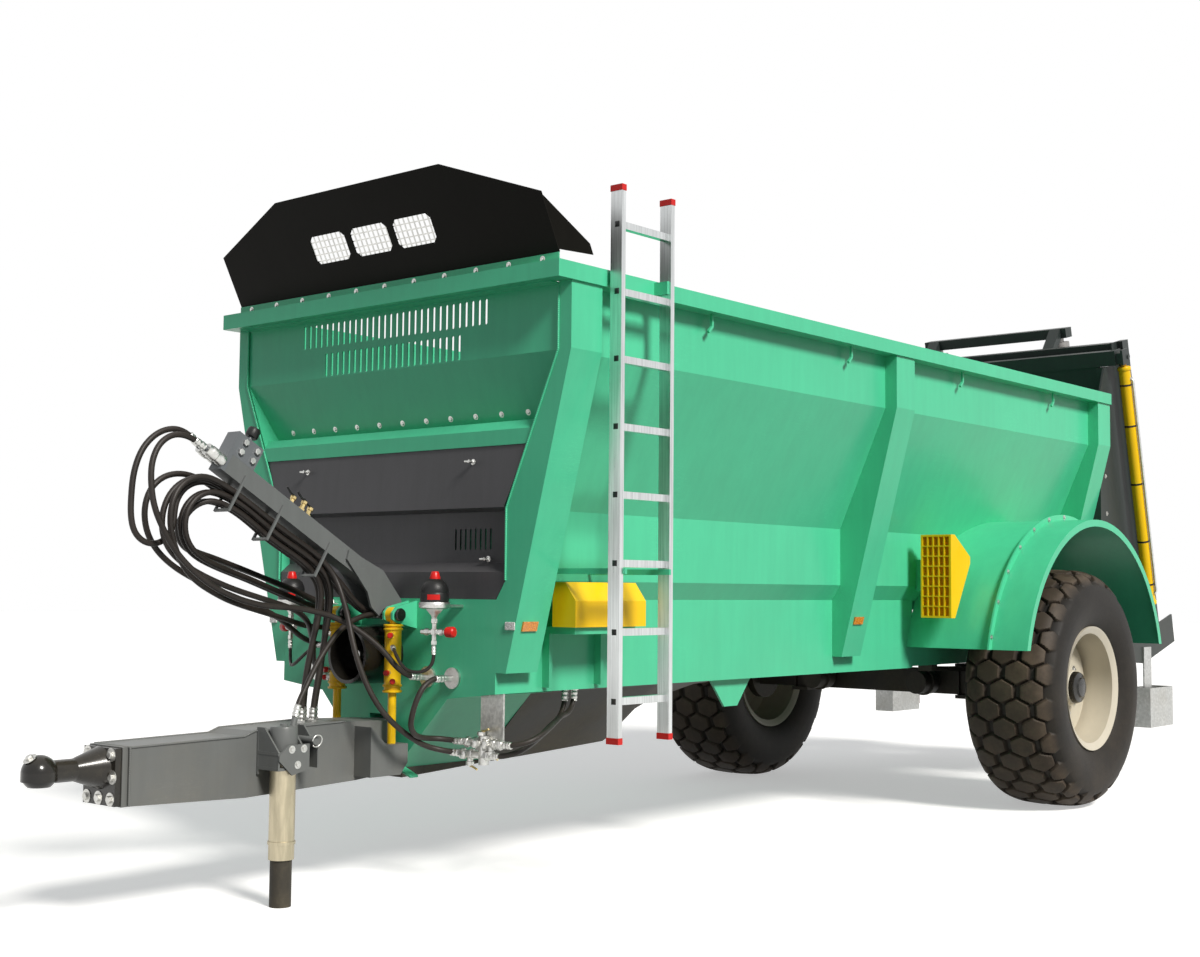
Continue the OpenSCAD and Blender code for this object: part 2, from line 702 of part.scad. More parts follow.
// Points on a shallow arc of radius r, over a half length
function shallow_arc(r, half, lift) = [
    for (i = [-6:6]) let (a = asin(half / r) * i / 6) [r * sin(a), lift + r * (1 - cos(a))]
];
module spring_leaf(half, lift)
    along_y(concat(shallow_arc(spring_r, half, lift), reversed(shallow_arc(spring_r, half,
        lift + spring_t))), -45, 45);
module leaf_springs() color(dark) in_frame() both_sides() translate([-axle_x, spring_y, spring_z]) {
    union() {
        spring_leaf(spring_half, 0);
        spring_leaf(spring_half * 0.7, spring_t - 1);
        for (s = [-1, 1])
            block([s * spring_half - 35, -45, spring_t], [s * spring_half + 35, 45,
                frame_z - spring_z - seam]);
        for (s = [-1, 1], y = [-49, 37])
            block([s * (axle_side / 2 + 14) - 9, y, -axle_side - 24], [s * (axle_side / 2 + 14) + 9,
                y + 12, 44]);
        block([-axle_side / 2 - 30, -60, 2 * spring_t - 2], [axle_side / 2 + 30, 60, 42]);
        block([-axle_side / 2 - 30, -60, -axle_side - 24], [axle_side / 2 + 30, 60, -axle_side - 2]);
    }
}
module brake_chambers() color(dark) in_frame() both_sides() translate([-axle_x, 380, wheel_z]) union() {
    block([axle_side / 2 + seam, -40, -30], [axle_side / 2 + 60, 40, 30]);
    bar_x(75, axle_side / 2 + 59, axle_side / 2 + 130);
    bar_x(82, axle_side / 2 + 129, axle_side / 2 + 145);
    bar_x(70, axle_side / 2 + 144, axle_side / 2 + 230);
}

// Wheels, drawn for the left side about their own axis along y
module wheel_place() in_frame() translate([-axle_x, hub_y, wheel_z]) children();
tyre_half = tyre_w / 2;
tyre_shoulder = 120;
module tyre() rotate([-90, 0, 0]) rotate_extrude($fn = 96) polygon([
    [bead_r + seam, -rim_w / 2 + 40], [rim_r + seam, -rim_w / 2 + 18], [rim_r + 12, -rim_w / 2 - 6],
        [tyre_r - 190, -tyre_half],
    [tyre_r - tyre_shoulder, -tyre_half + 10], [tyre_r - 30, -tyre_half + 70], [tyre_r, -tyre_half + 130],
    [tyre_r, tyre_half - 130], [tyre_r - 30, tyre_half - 70], [tyre_r - tyre_shoulder, tyre_half - 10],
    [tyre_r - 190, tyre_half], [rim_r + 12, rim_w / 2 + 6], [rim_r + seam, rim_w / 2 - 18], [bead_r + seam,
        rim_w / 2 - 40]
]);
module tyre_left() color(black) wheel_place() tyre();
module tyre_right() color(black) mirror([0, 1, 0]) wheel_place() tyre();
disc_y = 60;
module rim() rotate([-90, 0, 0]) rotate_extrude($fn = 96) polygon([
    [spindle_r + bearing, -110], [120, -110], [120, disc_y - 10], [bead_r - 60, disc_y - 10], [bead_r - 16,
        disc_y - 60],
    [bead_r - 16, -rim_w / 2 + 20], [rim_r - 10, -rim_w / 2 + 4], [rim_r, -rim_w / 2], [rim_r,
        -rim_w / 2 + 16],
    [bead_r, -rim_w / 2 + 36], [bead_r, rim_w / 2 - 36], [rim_r, rim_w / 2 - 16], [rim_r, rim_w / 2],
    [rim_r - 10, rim_w / 2 - 4], [bead_r - 16, rim_w / 2 - 20], [bead_r - 16, disc_y - 40], [bead_r - 50,
        disc_y + 6],
    [120, disc_y + 6], [100, disc_y + 70], [60, disc_y + 96], [0, disc_y + 96], [0, disc_y + 60],
        [spindle_r + bearing, disc_y + 60]
]);
module rim_left() color("white") wheel_place() rim();
module rim_right() color("white") mirror([0, 1, 0]) wheel_place() rim();

// Wheel arch: an inner part on the tub and a bolted outer fender
arch_low_z = 950;
arch_split = tyre_out - 218;
flange_h = 34;
module arch_ring(r0, r1, y0, y1) intersection() {
    translate([-axle_x, y0, wheel_z]) rotate([-90, 0, 0]) difference() {
        cylinder(r = r1, h = y1 - y0, $fn = 128);
        translate([0, 0, -past]) cylinder(r = r0, h = y1 - y0 + 2 * past, $fn = 128);
    }
    block([-axle_x - 2 * arch_r, 0, arch_low_z], [-axle_x + 2 * arch_r, 2 * tyre_out, wheel_z + 2 * arch_r]);
}
module wheel_arches() color(green) in_frame() both_sides() difference() {
    union() {
        arch_ring(arch_r - fender_t, arch_r, sill_y, arch_split - seam);
        arch_ring(arch_r - fender_t, arch_r + flange_h, arch_split - fender_t - seam, arch_split - seam);
    }
    along_x(tub_outline(seam), -tub_l - past, 0);
    block([-tub_l, 0, 0], [0, sill_y + seam, sill_z + 1]);
    along_x([
        [post_y + seam, rail_z], [post_y + seam, wall_bend_z], [post_foot_y + seam, post_foot_z], [0,
            post_foot_z], [0, rail_z]
    ], -tub_l - past, -tub_l + post_w + seam);
}
module fenders() color(green) in_frame() both_sides() union() {
    arch_ring(arch_r - fender_t, arch_r, arch_split, tyre_out);
    arch_ring(arch_r - fender_t, arch_r + flange_h, arch_split, arch_split + fender_t);
    arch_ring(arch_r - 40, arch_r, tyre_out - fender_t, tyre_out);
}

// Ladder at the left side
rung_s = 30;
rung_n = 8;
rung_top = 2773;
ladder_top = rung_top + 140;
module ladder() color(zinc) in_frame() union() {
    for (x = [0, ladder_w - stile_t])
        block([-ladder_x - x - stile_t, ladder_y - stile_d / 2, ladder_z], [-ladder_x - x,
            ladder_y + stile_d / 2, ladder_top]);
    for (i = [0:rung_n - 1])
        block([-ladder_x - ladder_w, ladder_y - rung_s / 2, rung_top - i * rung_pitch - rung_s / 2],
            [-ladder_x, ladder_y + rung_s / 2, rung_top - i * rung_pitch + rung_s / 2]);
}
module ladder_caps() color("red") in_frame() for (x = [0, ladder_w - stile_t], z = [ladder_z - 26 - seam,
    ladder_top + seam])
    block([-ladder_x - x - stile_t - 2, ladder_y - stile_d / 2 - 2, z], [-ladder_x - x + 2,
        ladder_y + stile_d / 2 + 2, z + 26]);
hook_z = 1359;
hook_t = 12;
module ladder_brackets() color(green) in_frame() for (x = [stile_t + seam,
    ladder_w - stile_t - hook_t - seam]) {
    block([-ladder_x - x - hook_t, waist_y + seam, hook_z - 30], [-ladder_x - x, ladder_y + 40, hook_z - 6]);
    block([-ladder_x - x - hook_t, rail_y + seam, rail_z + 8], [-ladder_x - x, ladder_y + 20, rail_top - 8]);
}

// Wheel chocks: one upright on the arch, one lying beside the front post
chock_l = 470;
chock_w = 190;
chock_d = 230;
// The upright chock's back is a grid of pockets
grid_edge = 12;
grid_wall = 7;
grid_deep = 36;
grid_n = [5, 8];
grid_pitch = [(chock_w - 2 * grid_edge + grid_wall) / grid_n[0],
    (chock_l - 2 * grid_edge + grid_wall) / grid_n[1]];
module chock() difference() {
    along_y([
        [0, 0], [0, chock_l], [-chock_d * 0.2, chock_l], [-chock_d, chock_l * 0.74], [-chock_d,
            chock_l * 0.66],
        [-chock_d * 0.2, 0]
    ], 0, chock_w);
    for (i = [0:grid_n[0] - 1], k = [0:grid_n[1] - 1])
        translate([-grid_deep, grid_edge + i * grid_pitch[0], grid_edge + k * grid_pitch[1]])
            cube([grid_deep + past, grid_pitch[0] - grid_wall, grid_pitch[1] - grid_wall]);
}
chock_x = axle_x - arch_r - 61;
chock_y = waist_y + 96;
chock_z = 1122;
box_x = 340;
box_z = 1106;
module chocks() color(yellow) in_frame() {
    translate([-chock_x, chock_y, chock_z]) chock();
    translate([-box_x, waist_y + 40, box_z]) along_x([[0, 0], [130, 0], [130, 110], [70, 190], [0, 190]],
        -chock_l, 0);
}
module chock_carriers() color(green) in_frame() {
    block([-chock_x - 140, waist_y + seam, chock_z + 150], [-chock_x - 120, chock_y - seam, chock_z + 330]);
    block([-box_x - 420, sill_y + seam, box_z - 30], [-box_x - 20, waist_y + 150, box_z - seam]);
    for (x = [box_x + 40, box_x + 380])
        block([-x - 20, sill_y + seam, box_z - 260], [-x, sill_y + 40, box_z - 30 + 1]);
}

// Reflectors on the posts and the sill
reflector_z = [1090, 1130];
reflector_t = 8;
function post_face(z) = post_foot_y + (z - post_foot_z) * post_slope + seam;
module reflectors() color("orange") in_frame() both_sides() for (x = [post_front, post_mid])
    along_x([
        [post_face(reflector_z[0]), reflector_z[0]], [post_face(reflector_z[0]) + reflector_t,
            reflector_z[0]],
        [post_face(reflector_z[1]) + reflector_t, reflector_z[1]], [post_face(reflector_z[1]), reflector_z[1]]
    ], -x - 130, -x - 40);

// Rope hooks under the rail
hook_x = [1100, 2300, 3500, 4700];
module rail_hooks() color(green) in_frame() both_sides() for (x = hook_x)
    along_y([[-x, rail_z - seam], [-x, rail_z - 60], [-x + 30, rail_z - 90], [-x + 38, rail_z - 80],
        [-x + 12, rail_z - 55], [-x + 12, rail_z - seam]],
        wall_y + 30, wall_y + 42);

// Hose arm with wire hoops and the valve block at its upper end
arm_lean = 30;
arm_side = 80;
arm_l = 940;
arm_foot = [40, 20, 1250];
hoop_t = 10;
hoop_d = 125;
hoop_back = [610, 320, 100];
arm_cheek_t = 12;
// Cheek plates that carry the arm, from the headstock to past the arm's foot
arm_cheek = concat(
    [[plate_x + seam, arm_foot[2] - 120], [plate_x + seam, arm_foot[2] - 38]],
    [for (p = [[-23, 90], [170, 175], [182, 135], [65, -3], [40, -70], [-20, -120]]) [arm_foot[0] + p[0],
        arm_foot[2] + p[1]]]
);
module arm_frame() in_frame() translate(arm_foot) rotate([0, -arm_lean, 0]) children();
module hoop(x) difference() {
    block([x, -hoop_t, -hoop_d], [x + hoop_t, arm_side + hoop_t, arm_side / 2]);
    block([x - past, 0, hoop_t - hoop_d], [x + hoop_t + past, arm_side, arm_side / 2 + past]);
}
module hose_arm() color(grey) union() {
    arm_frame() tube_x(0, arm_l, 0, arm_side, 0, arm_side, 5);
    for (b = hoop_back)
        arm_frame() hoop(arm_l - b);
    in_frame() for (y = [arm_foot[1] - arm_cheek_t, arm_foot[1] + arm_side])
        along_y(arm_cheek, y, y + arm_cheek_t);
}
valve_l = 117;
valve_h = 100;
valve_end = 22;
coupler_r = 22;
coupler_l = 110;
couplers = [[13, 48], [67, 35]];
module valve_block() color(zinc) union() {
    arm_frame() {
        block([arm_l - valve_l, 0, arm_side + seam], [arm_l + valve_end, arm_side, arm_side + valve_h]);
        block([arm_l + seam, 0, 0], [arm_l + valve_end, arm_side, arm_side + 1]);
        translate([arm_l - valve_l / 2, arm_side / 2, arm_side]) bar_z(12, valve_h - 1, valve_h + 30);
        translate([arm_l - valve_l / 2, arm_side / 2, arm_side]) bar_z(24, valve_h + 29, valve_h + 65);
        for (c = couplers)
            translate([0, c[0], c[1]]) bar_x(coupler_r, arm_l + valve_end - 1, arm_l + coupler_l);
    }
    in_frame() nipple_end(hose_route_1, 40);
    in_frame() nipple_start(hose_route_2, 40);
}

// Gland block for the hoses' lower ends, and flanged glands over the holes in the headstock
port_z = [1125, 1180];
gland_r = 45;
gland_t = 12;
module hose_ports() color(zinc) in_frame() {
    union() {
        block([plate_x + seam, arm_foot[1] + 2, port_z[0]], [plate_x + 32, arm_foot[1] + arm_side - 2,
            port_z[1]]);
        nipple_start(hose_route_1, 31);
        nipple_start(hose_route_3, 31);
        nipple_start(hose_route_5, 31);
    }
    for (h = plate_holes, s = [-1, 1])
        translate([plate_x + seam, s * h[0], h[1]]) bar_x(gland_r, 0, gland_t);
    nipple_end(hose_route_2, 44);
    nipple_end(hose_route_3, 44);
    nipple_start(hose_route_4, 44);
}

// PTO guard cup and stub shaft
pto_r = 17.45;
pto_end = 60;
cup_out = 125;
module pto_guard() color(black) in_frame() translate([0, 0, pto_z]) difference() {
    translate([plate_x + seam, 0, 0]) rotate([0, 90, 0]) cylinder(r1 = 130, r2 = cup_out, h = 210);
    bar_x(110, plate_x + 6, 200);
    bar_x(70, plate_x - past, plate_x + 20);
}
module pto_shaft() color(zinc) in_frame() translate([0, 0, pto_z]) union() {
    bar_x(pto_r, plate_x - 40, pto_end);
    bar_x(pto_hole_r + 20, plate_x - plate_t - 60, plate_x - plate_t - seam);
}

// Brake couplings on a bracket below the headstock
brake_y = 560;
brake_z = 600;
module brake_couplings() color(zinc) in_frame() union() {
    block([plate_x - 60, brake_y, brake_z], [plate_x - 50, brake_y + 130, sill_foot_z - seam]);
    nipple_end(hose_route_4, 40);
    block([plate_x - 51, brake_y + 10, brake_z - 10], [plate_x - 10, brake_y + 70, brake_z + 40]);
    translate([plate_x - 30, 0, brake_z + 20]) bar_y(18, brake_y - 60, brake_y + 130);
    translate([plate_x - 30, brake_y + 40, 0]) bar_z(22, brake_z - 70, brake_z + 50);
    translate([plate_x - 30, 0, brake_z - 30]) bar_y(16, brake_y - 90, brake_y + 60);
}

// Rear side plates with guides, a column and a portal round the tub's end
function cheek_outline() = [
    [-tub_l - seam, sill_foot_z], [-tub_l - seam, rail_top], unit_xz(60, gate_top), unit_xz(-110,
        gate_top), unit_xz(-110, 1790),
    unit_xz(column_u, 1790), unit_xz(column_u, -240), unit_xz(-650, -240), unit_xz(-650, rear_drop),
        unit_xz(-60, rear_drop)
];
guide_t = 12;
guide_d = 60;
module rear_frame() {
    cheek_in = cheek_y - cheek_t;
    in_frame() along_y(cheek_outline(), cheek_in, cheek_y);
    in_frame() difference() {
        block([-tub_l - cheek_t - seam, sill_y - 60, sill_foot_z], [-tub_l - seam, cheek_in + 1, rail_z]);
        along_x(tub_outline(-wall_t), -tub_l - 100, 0);
        block([-tub_l - 100, 0, 0], [0, sill_y, sill_z + 1]);
    }
    in_frame() block([-chain_rear, sill_y - wall_t, sill_z - floor_t], [-tub_l - seam - 1, cheek_in + 1,
        sill_z]);
    rear_unit() {
        block([run + 2, cheek_in - guide_d, 40], [run + 2 + guide_t, cheek_in + 1, gate_top]);
        block([-gate_t - run - 2 - guide_t, cheek_in - guide_d, 40], [-gate_t - run - 2, cheek_in + 1,
            gate_top]);
        block([column_u, cheek_y - 1, rear_drop + 200], [column_u + column_d, cheek_y + column_out, 1790]);
        translate([lift_u, 0, lift_foot]) bar_y(30, cheek_y - 1, lift_y - 24);
        translate([lift_u, 0, lift_foot]) bar_y(lift_pin_r, cheek_y - 1, lift_y + 26);
    }
}
module rear_frame_left() color(dark) rear_frame();
module rear_frame_right() color(dark) mirror([0, 1, 0]) rear_frame();

// Gate with ribs, a top beam and lugs for its cylinders
beam_low = gate_top + run;
beam_high = beam_low + 100;
rib_pitch = 500;
lug_outline = [[-92, beam_low], [lift_u - 40, lift_w], [lift_u - 20, lift_w + 60], [10, beam_high], [10,
    beam_low]];
module gate() color(dark) rear_unit() union() {
    block([-gate_t, -gate_w / 2, gate_foot], [0, gate_w / 2, beam_low + 1]);
    for (i = [0:2])
        block([-60, -gate_w / 2 + 30, gate_foot + 20 + i * rib_pitch],
            [-gate_t + 1, gate_w / 2 - 30, gate_foot + 90 + i * rib_pitch]);
    block([-90, -lift_y + 33, beam_low], [10, lift_y - 33, beam_high]);
    both_sides() along_y(lug_outline, lift_y - 34, lift_y - 19);
    both_sides() along_y(lug_outline, lift_y + 19, lift_y + 34);
    both_sides() block([-30, lift_y - 20, beam_low + 10], [0, lift_y + 20, beam_high - 20]);
    both_sides() translate([lift_u, 0, lift_w]) bar_y(lift_pin_r, lift_y - 20, lift_y + 40);
}
module gate_barrels() color(yellow) rear_unit() both_sides() translate([lift_u, lift_y, 0]) difference() {
    union() {
        bar_z(lift_r, -20, lift_w - 62);
        translate([0, 0, lift_w]) bar_y(30, -16, 16);
        bar_z(17, lift_w - 63, lift_w - 20);
    }
    translate([0, 0, lift_w]) bar_y(lift_pin_r + bearing, -20, 20);
    bar_z(lift_bore_r, 20, lift_w - 90);
    bar_z(lift_rod_r + bearing, -20 - past, 30);
}
// At rest the piston is near the barrel's closed end
piston_top = lift_w - 100;
piston_h = 50;
module gate_rods() color("silver") rear_unit() both_sides() translate([lift_u, lift_y, 0]) difference() {
    union() {
        bar_z(lift_rod_r, lift_foot + 20, piston_top - piston_h / 2);
        bar_z(lift_bore_r - bearing, piston_top - piston_h, piston_top);
        translate([0, 0, lift_foot]) bar_y(30, -16, 16);
    }
    translate([0, 0, lift_foot]) bar_y(lift_pin_r + bearing, -20, 20);
}

// Gear beam below the discs and the frame that holds the beaters' upper bearings
module beater_beams() color(dark) rear_unit() difference() {
    union() {
        block([-beater_u - 100, -cheek_y + cheek_t + seam, -420], [-beater_u + 100,
            cheek_y - cheek_t - seam, -300]);
        both_sides() translate([-beater_u, beater_gap / 2, 0]) bar_z(stub_r, -301, beater_foot + 60);
        block([column_u, -cheek_y + cheek_t + seam, 1700], [column_u + column_d, cheek_y - cheek_t - seam,
            1780]);
        block([-beater_u - 50, -beater_gap / 2 - 80, beater_top + 30], [-beater_u + 50,
            beater_gap / 2 + 80, beater_top + 100]);
        both_sides() along_y([[column_u + 1, 1700], [column_u + 1, 1780], [-beater_u + 49, beater_top + 100],
            [-beater_u + 49, beater_top + 30]], beater_gap / 2 - 40, beater_gap / 2 + 40);
    }
    both_sides() translate([-beater_u, beater_gap / 2, 0]) bar_z(stub_r + bearing, beater_top + 20,
        beater_top + 80);
}

// A beater: a core tube with knife plates that climb in a spiral, above a disc with throwing vanes
knife_n = 12;
knife_turn = 50;
knife_t = 12;
knife_w = 110;
vane_n = 6;
module knife_plate() linear_extrude(knife_t) polygon([
    [core_r - 6, -knife_w / 2], [beater_r * 0.72, -knife_w / 2], [beater_r, -knife_w * 0.18],
    [beater_r, knife_w * 0.18], [beater_r * 0.8, knife_w / 2], [core_r - 6, knife_w / 2]
]);
module beater(dir) difference() {
    union() {
        bar_z(core_r, disc_w, beater_top);
        bar_z(stub_r, beater_top - 1, beater_top + 70);
        bar_z(disc_r, disc_w, disc_w + 8);
        for (i = [0:vane_n - 1])
            rotate(i * 360 / vane_n) block([core_r - 6, -6, disc_w + 7], [disc_r - 4, 6, disc_w + 70]);
        for (i = [0:knife_n - 1], side = [0, 180])
            translate([0, 0, beater_foot + 30 + i * (beater_top - beater_foot - 160) / (knife_n - 1)])
                rotate(dir * i * knife_turn + side) knife_plate();
    }
    bar_z(stub_r + bearing, disc_w - past, beater_foot + 80);
}
module beater_left() color(grey) rear_unit() translate([-beater_u, beater_gap / 2, 0]) beater(1);
module beater_right() color(grey) rear_unit() translate([-beater_u, -beater_gap / 2, 0]) mirror([0, 1,
    0]) beater(1);

// Galvanised lamp boxes under the rear side plates
lamp_x = [gate_x + 120, gate_x + 530];
lamp_y = [930, 1080];
lamp_z = [350, 620];
lamp_t = 5;
module lamp_boxes() color(zinc) in_frame() both_sides() union() {
    difference() {
        block([-lamp_x[1], lamp_y[0], lamp_z[0]], [-lamp_x[0], lamp_y[1], lamp_z[1]]);
        block([-lamp_x[1] + lamp_t, lamp_y[0] + lamp_t, lamp_z[0] + lamp_t],
            [-lamp_x[0] - lamp_t, lamp_y[1] - lamp_t, lamp_z[1] + past]);
    }
    block([-lamp_x[0] - 150, cheek_y + seam, lamp_z[0] + 1], [-lamp_x[0] - 20, cheek_y + 10, 900]);
}
module rear_lamps() color("red") in_frame() both_sides() union() {
    block([-lamp_x[1] - 36, lamp_y[0] + 15, lamp_z[0] + 40], [-lamp_x[1] - seam, lamp_y[1] - 15,
        lamp_z[1] - 60]);
}

// Hoses, each swept along its own hand-set points
hose_r = 11;
hose_sides = 10;
// A direction that no hose runs along, from which the rings count their corners
hose_across = [0.4, 0.9, 0];
hose_route_1 = [
    [-30, 33, 1150], [30, 33, 1152], [90, 33, 1176], [145, 33, 1218], [195, 33, 1268], [250, 33, 1316],
        [330, 33, 1373],
    [544, 33, 1497], [804, 33, 1647], [880, 33, 1678], [950, 33, 1672], [1005, 33, 1636], [1036, 33, 1580],
        [1054, 33, 1515],
    [1088, 33, 1452], [1137, 33, 1426], [1186, 33, 1456], [1210, 33, 1530], [1212, 33, 1620], [1200, 33,
        1710],
    [1165, 33, 1800], [1105, 33, 1860], [1035, 33, 1878], [980, 33, 1862], [935, 33, 1825]
];
hose_route_2 = [
    [940, 87, 1810], [1010, 87, 1845], [1085, 90, 1850], [1150, 94, 1810], [1185, 98, 1740], [1190, 102,
        1655],
    [1175, 106, 1565], [1135, 110, 1480], [1080, 112, 1400], [1005, 114, 1330], [915, 116, 1270], [810,
        116, 1225],
    [690, 116, 1195], [430, 120, 1170], [310, 140, 1140], [210, 190, 1080], [130, 245, 1000], [75, 280, 925],
    [20, 292, 892], [-40, 293, 885]
];
hose_route_3 = [
    [-30, 60, 1150], [30, 60, 1152], [90, 60, 1176], [145, 60, 1218], [195, 60, 1268], [250, 60, 1316],
        [330, 60, 1373],
    [544, 60, 1497], [804, 60, 1647], [870, 60, 1679], [940, 60, 1692], [1010, 60, 1678], [1070, 60, 1632],
    [1104, 60, 1565], [1110, 59, 1492], [1086, 56, 1425], [1030, 53, 1370], [950, 50, 1326], [850, 46, 1286],
    [740, 41, 1251], [620, 33, 1221], [510, 20, 1195], [390, -10, 1165], [290, -60, 1120], [210, -130, 1060],
    [130, -210, 990], [75, -270, 925], [20, -291, 892], [-40, -293, 885]
];
hose_route_4 = [
    [-40, 444, 885], [20, 444, 885], [75, 440, 855], [105, 430, 800], [110, 415, 735], [85, 400, 680], [35,
        390, 645],
    [-30, 390, 630], [-85, 405, 625], [-115, 440, 622], [-122, 480, 620]
];
hose_route_5 = [
    [-30, 87, 1150], [60, 87, 1150], [150, 90, 1130], [240, 98, 1085], [320, 110, 1015], [390, 122, 935],
        [450, 136, 855],
    [495, 147, 790], [515, 151, 735]
];
function ring_dir(p, i) = unit_vec(p[min(i + 1, len(p) - 1)] - p[max(i - 1, 0)]);
function ring_point(p, i, k) = let (
    d = ring_dir(p, i),
    a = unit_vec(cross(d, hose_across)),
    b = cross(d, a),
    t = 360 * k / hose_sides
) p[i] + hose_r * (cos(t) * a + sin(t) * b);
// Short fittings that carry on a hose's line past its start or its end
nipple_r = 12.5;
module nipple(p, d, l) translate(p + seam * d) rotate([0, acos(d[2]), atan2(d[1],
    d[0])]) cylinder(r = nipple_r, h = l);
module nipple_start(route, l) nipple(route[0], -ring_dir(route, 0), l);
module nipple_end(route, l) nipple(route[len(route) - 1], ring_dir(route, len(route) - 1), l);
module hose(route) color(black) in_frame() {
    n = len(route);
    m = hose_sides;
    polyhedron(
        points = [for (i = [0:n - 1], k = [0:m - 1]) ring_point(route, i, k)],
        faces = concat(
            [[for (k = [m - 1:-1:0]) k]],
            [for (i = [0:n - 2], k = [0:m - 1]) [i * m + k, i * m + (k + 1) % m, (i + 1) * m + (k + 1) % m]],
            [for (i = [0:n - 2], k = [0:m - 1]) [i * m + k, (i + 1) * m + (k + 1) % m, (i + 1) * m + k]],
            [[for (k = [0:m - 1]) (n - 1) * m + k]]
        )
    );
}

side_wall_left();
side_wall_right();
front_wall();
floor_plate();
scraper_floor();
top_rail();
posts();
sills();
chassis();
headstock();
hood();
splash_guard();
guard_mesh();
drawbar();
coupling();
leg_bracket();
leg_tube();
leg_foot();
drawbar_cylinders();
accumulators();
axle_beam();
leaf_springs();
brake_chambers();
tyre_left();
tyre_right();
rim_left();
rim_right();
fenders();
wheel_arches();
ladder();
ladder_caps();
ladder_brackets();
chocks();
chock_carriers();
reflectors();
rail_hooks();
hose_arm();
valve_block();
pto_guard();
pto_shaft();
hose_ports();
brake_couplings();
rear_frame_left();
rear_frame_right();
gate();
gate_barrels();
gate_rods();
beater_beams();
beater_left();
beater_right();
lamp_boxes();
rear_lamps();
hose(hose_route_1);  // hose_1
hose(hose_route_2);  // hose_2
hose(hose_route_3);  // hose_3
hose(hose_route_4);  // hose_4
hose(hose_route_5);  // hose_5
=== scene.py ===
import json
import math
import bmesh
import bpy
import numpy as np
from mathutils import Matrix, Vector
from mathutils.bvhtree import BVHTree


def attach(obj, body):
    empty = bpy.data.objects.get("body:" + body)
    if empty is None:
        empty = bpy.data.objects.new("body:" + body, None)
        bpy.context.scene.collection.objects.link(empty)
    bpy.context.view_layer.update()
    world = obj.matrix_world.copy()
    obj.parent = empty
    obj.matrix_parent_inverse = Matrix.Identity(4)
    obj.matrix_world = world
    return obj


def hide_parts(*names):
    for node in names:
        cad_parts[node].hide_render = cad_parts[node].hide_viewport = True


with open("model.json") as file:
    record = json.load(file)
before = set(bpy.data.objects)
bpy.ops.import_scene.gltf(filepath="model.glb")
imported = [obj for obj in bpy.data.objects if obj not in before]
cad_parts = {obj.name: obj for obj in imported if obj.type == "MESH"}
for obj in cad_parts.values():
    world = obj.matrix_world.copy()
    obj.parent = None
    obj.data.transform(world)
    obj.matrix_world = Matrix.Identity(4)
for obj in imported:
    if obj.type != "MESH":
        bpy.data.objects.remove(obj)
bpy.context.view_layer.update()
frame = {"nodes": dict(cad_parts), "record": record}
nodes = frame["nodes"]
scene = bpy.context.scene
print("frame loaded:", len(nodes), "nodes")

# Sizes are in millimetres from the tub's front rail, as in the part's source, and profiles are in metres
railX = 2689.56
upward, backward = (0, 0, 1), (-1, 0, 0)
bothSides = ((1, "left"), (-1, "right"))


def place(points):
    # Millimetres from the front rail become metres in the row frame
    p = np.atleast_2d(np.asarray(points, float))
    return (p + [railX, 0, 0]) / 1000


def spotAt(x, y, z):
    return place((x, y, z))[0]


def unit(v):
    return v / np.linalg.norm(v, axis=-1, keepdims=True)


def runAlong(points):
    # How far along a line of points each of them lies
    return np.concatenate([[0], np.cumsum(np.linalg.norm(np.diff(points, axis=0), axis=1))])


# Mesh tools

def gridFaces(rows, cols, wrapRows=False, wrapCols=False):
    # Each cell of a rows by cols grid is one quad of its four corners' numbers
    i = np.arange(rows if wrapRows else rows - 1)
    j = np.arange(cols if wrapCols else cols - 1)
    a, b = np.meshgrid(i, j, indexing="ij")
    c, d = (a + 1) % rows, (b + 1) % cols
    return np.stack([a * cols + b, a * cols + d, c * cols + d, c * cols + b], -1).reshape(-1, 4)


def putMesh(name, points, faces, material, slot, body="frame", sharp=None):
    # A smooth mesh that rides on a body, with edges steeper than sharp degrees kept hard
    mesh = bpy.data.meshes.new(name)
    faces = faces.tolist() if isinstance(faces, np.ndarray) else faces
    mesh.from_pydata(np.asarray(points, float).tolist(), [], faces)
    mesh.polygons.foreach_set("use_smooth", np.ones(len(faces), bool))
    if sharp:
        mesh.set_sharp_from_angle(angle=math.radians(sharp))
    mesh.materials.append(material)
    piece = bpy.data.objects.new(name, mesh)
    scene.collection.objects.link(piece)
    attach(piece, body)
    return piece


def fixNormals(piece):
    # Turns every face of a closed piece outward
    work = bmesh.new()
    work.from_mesh(piece.data)
    bmesh.ops.recalc_face_normals(work, faces=work.faces)
    work.to_mesh(piece.data)
    work.free()
    return piece


def joinShapes(shapes):
    # Several shapes become one, with their corner numbers carried on
    points, faces, count = [], [], 0
    for p, f in shapes:
        points.append(p)
        faces += [[k + count for k in face] for face in f]
        count += len(p)
    return np.concatenate(points), faces


def putShapes(name, shapes, material, slot, body="frame", sharp=32):
    # Closed shapes joined to one piece
    points, faces = joinShapes(shapes)
    return fixNormals(putMesh(name, points, faces, material, slot, body, sharp))


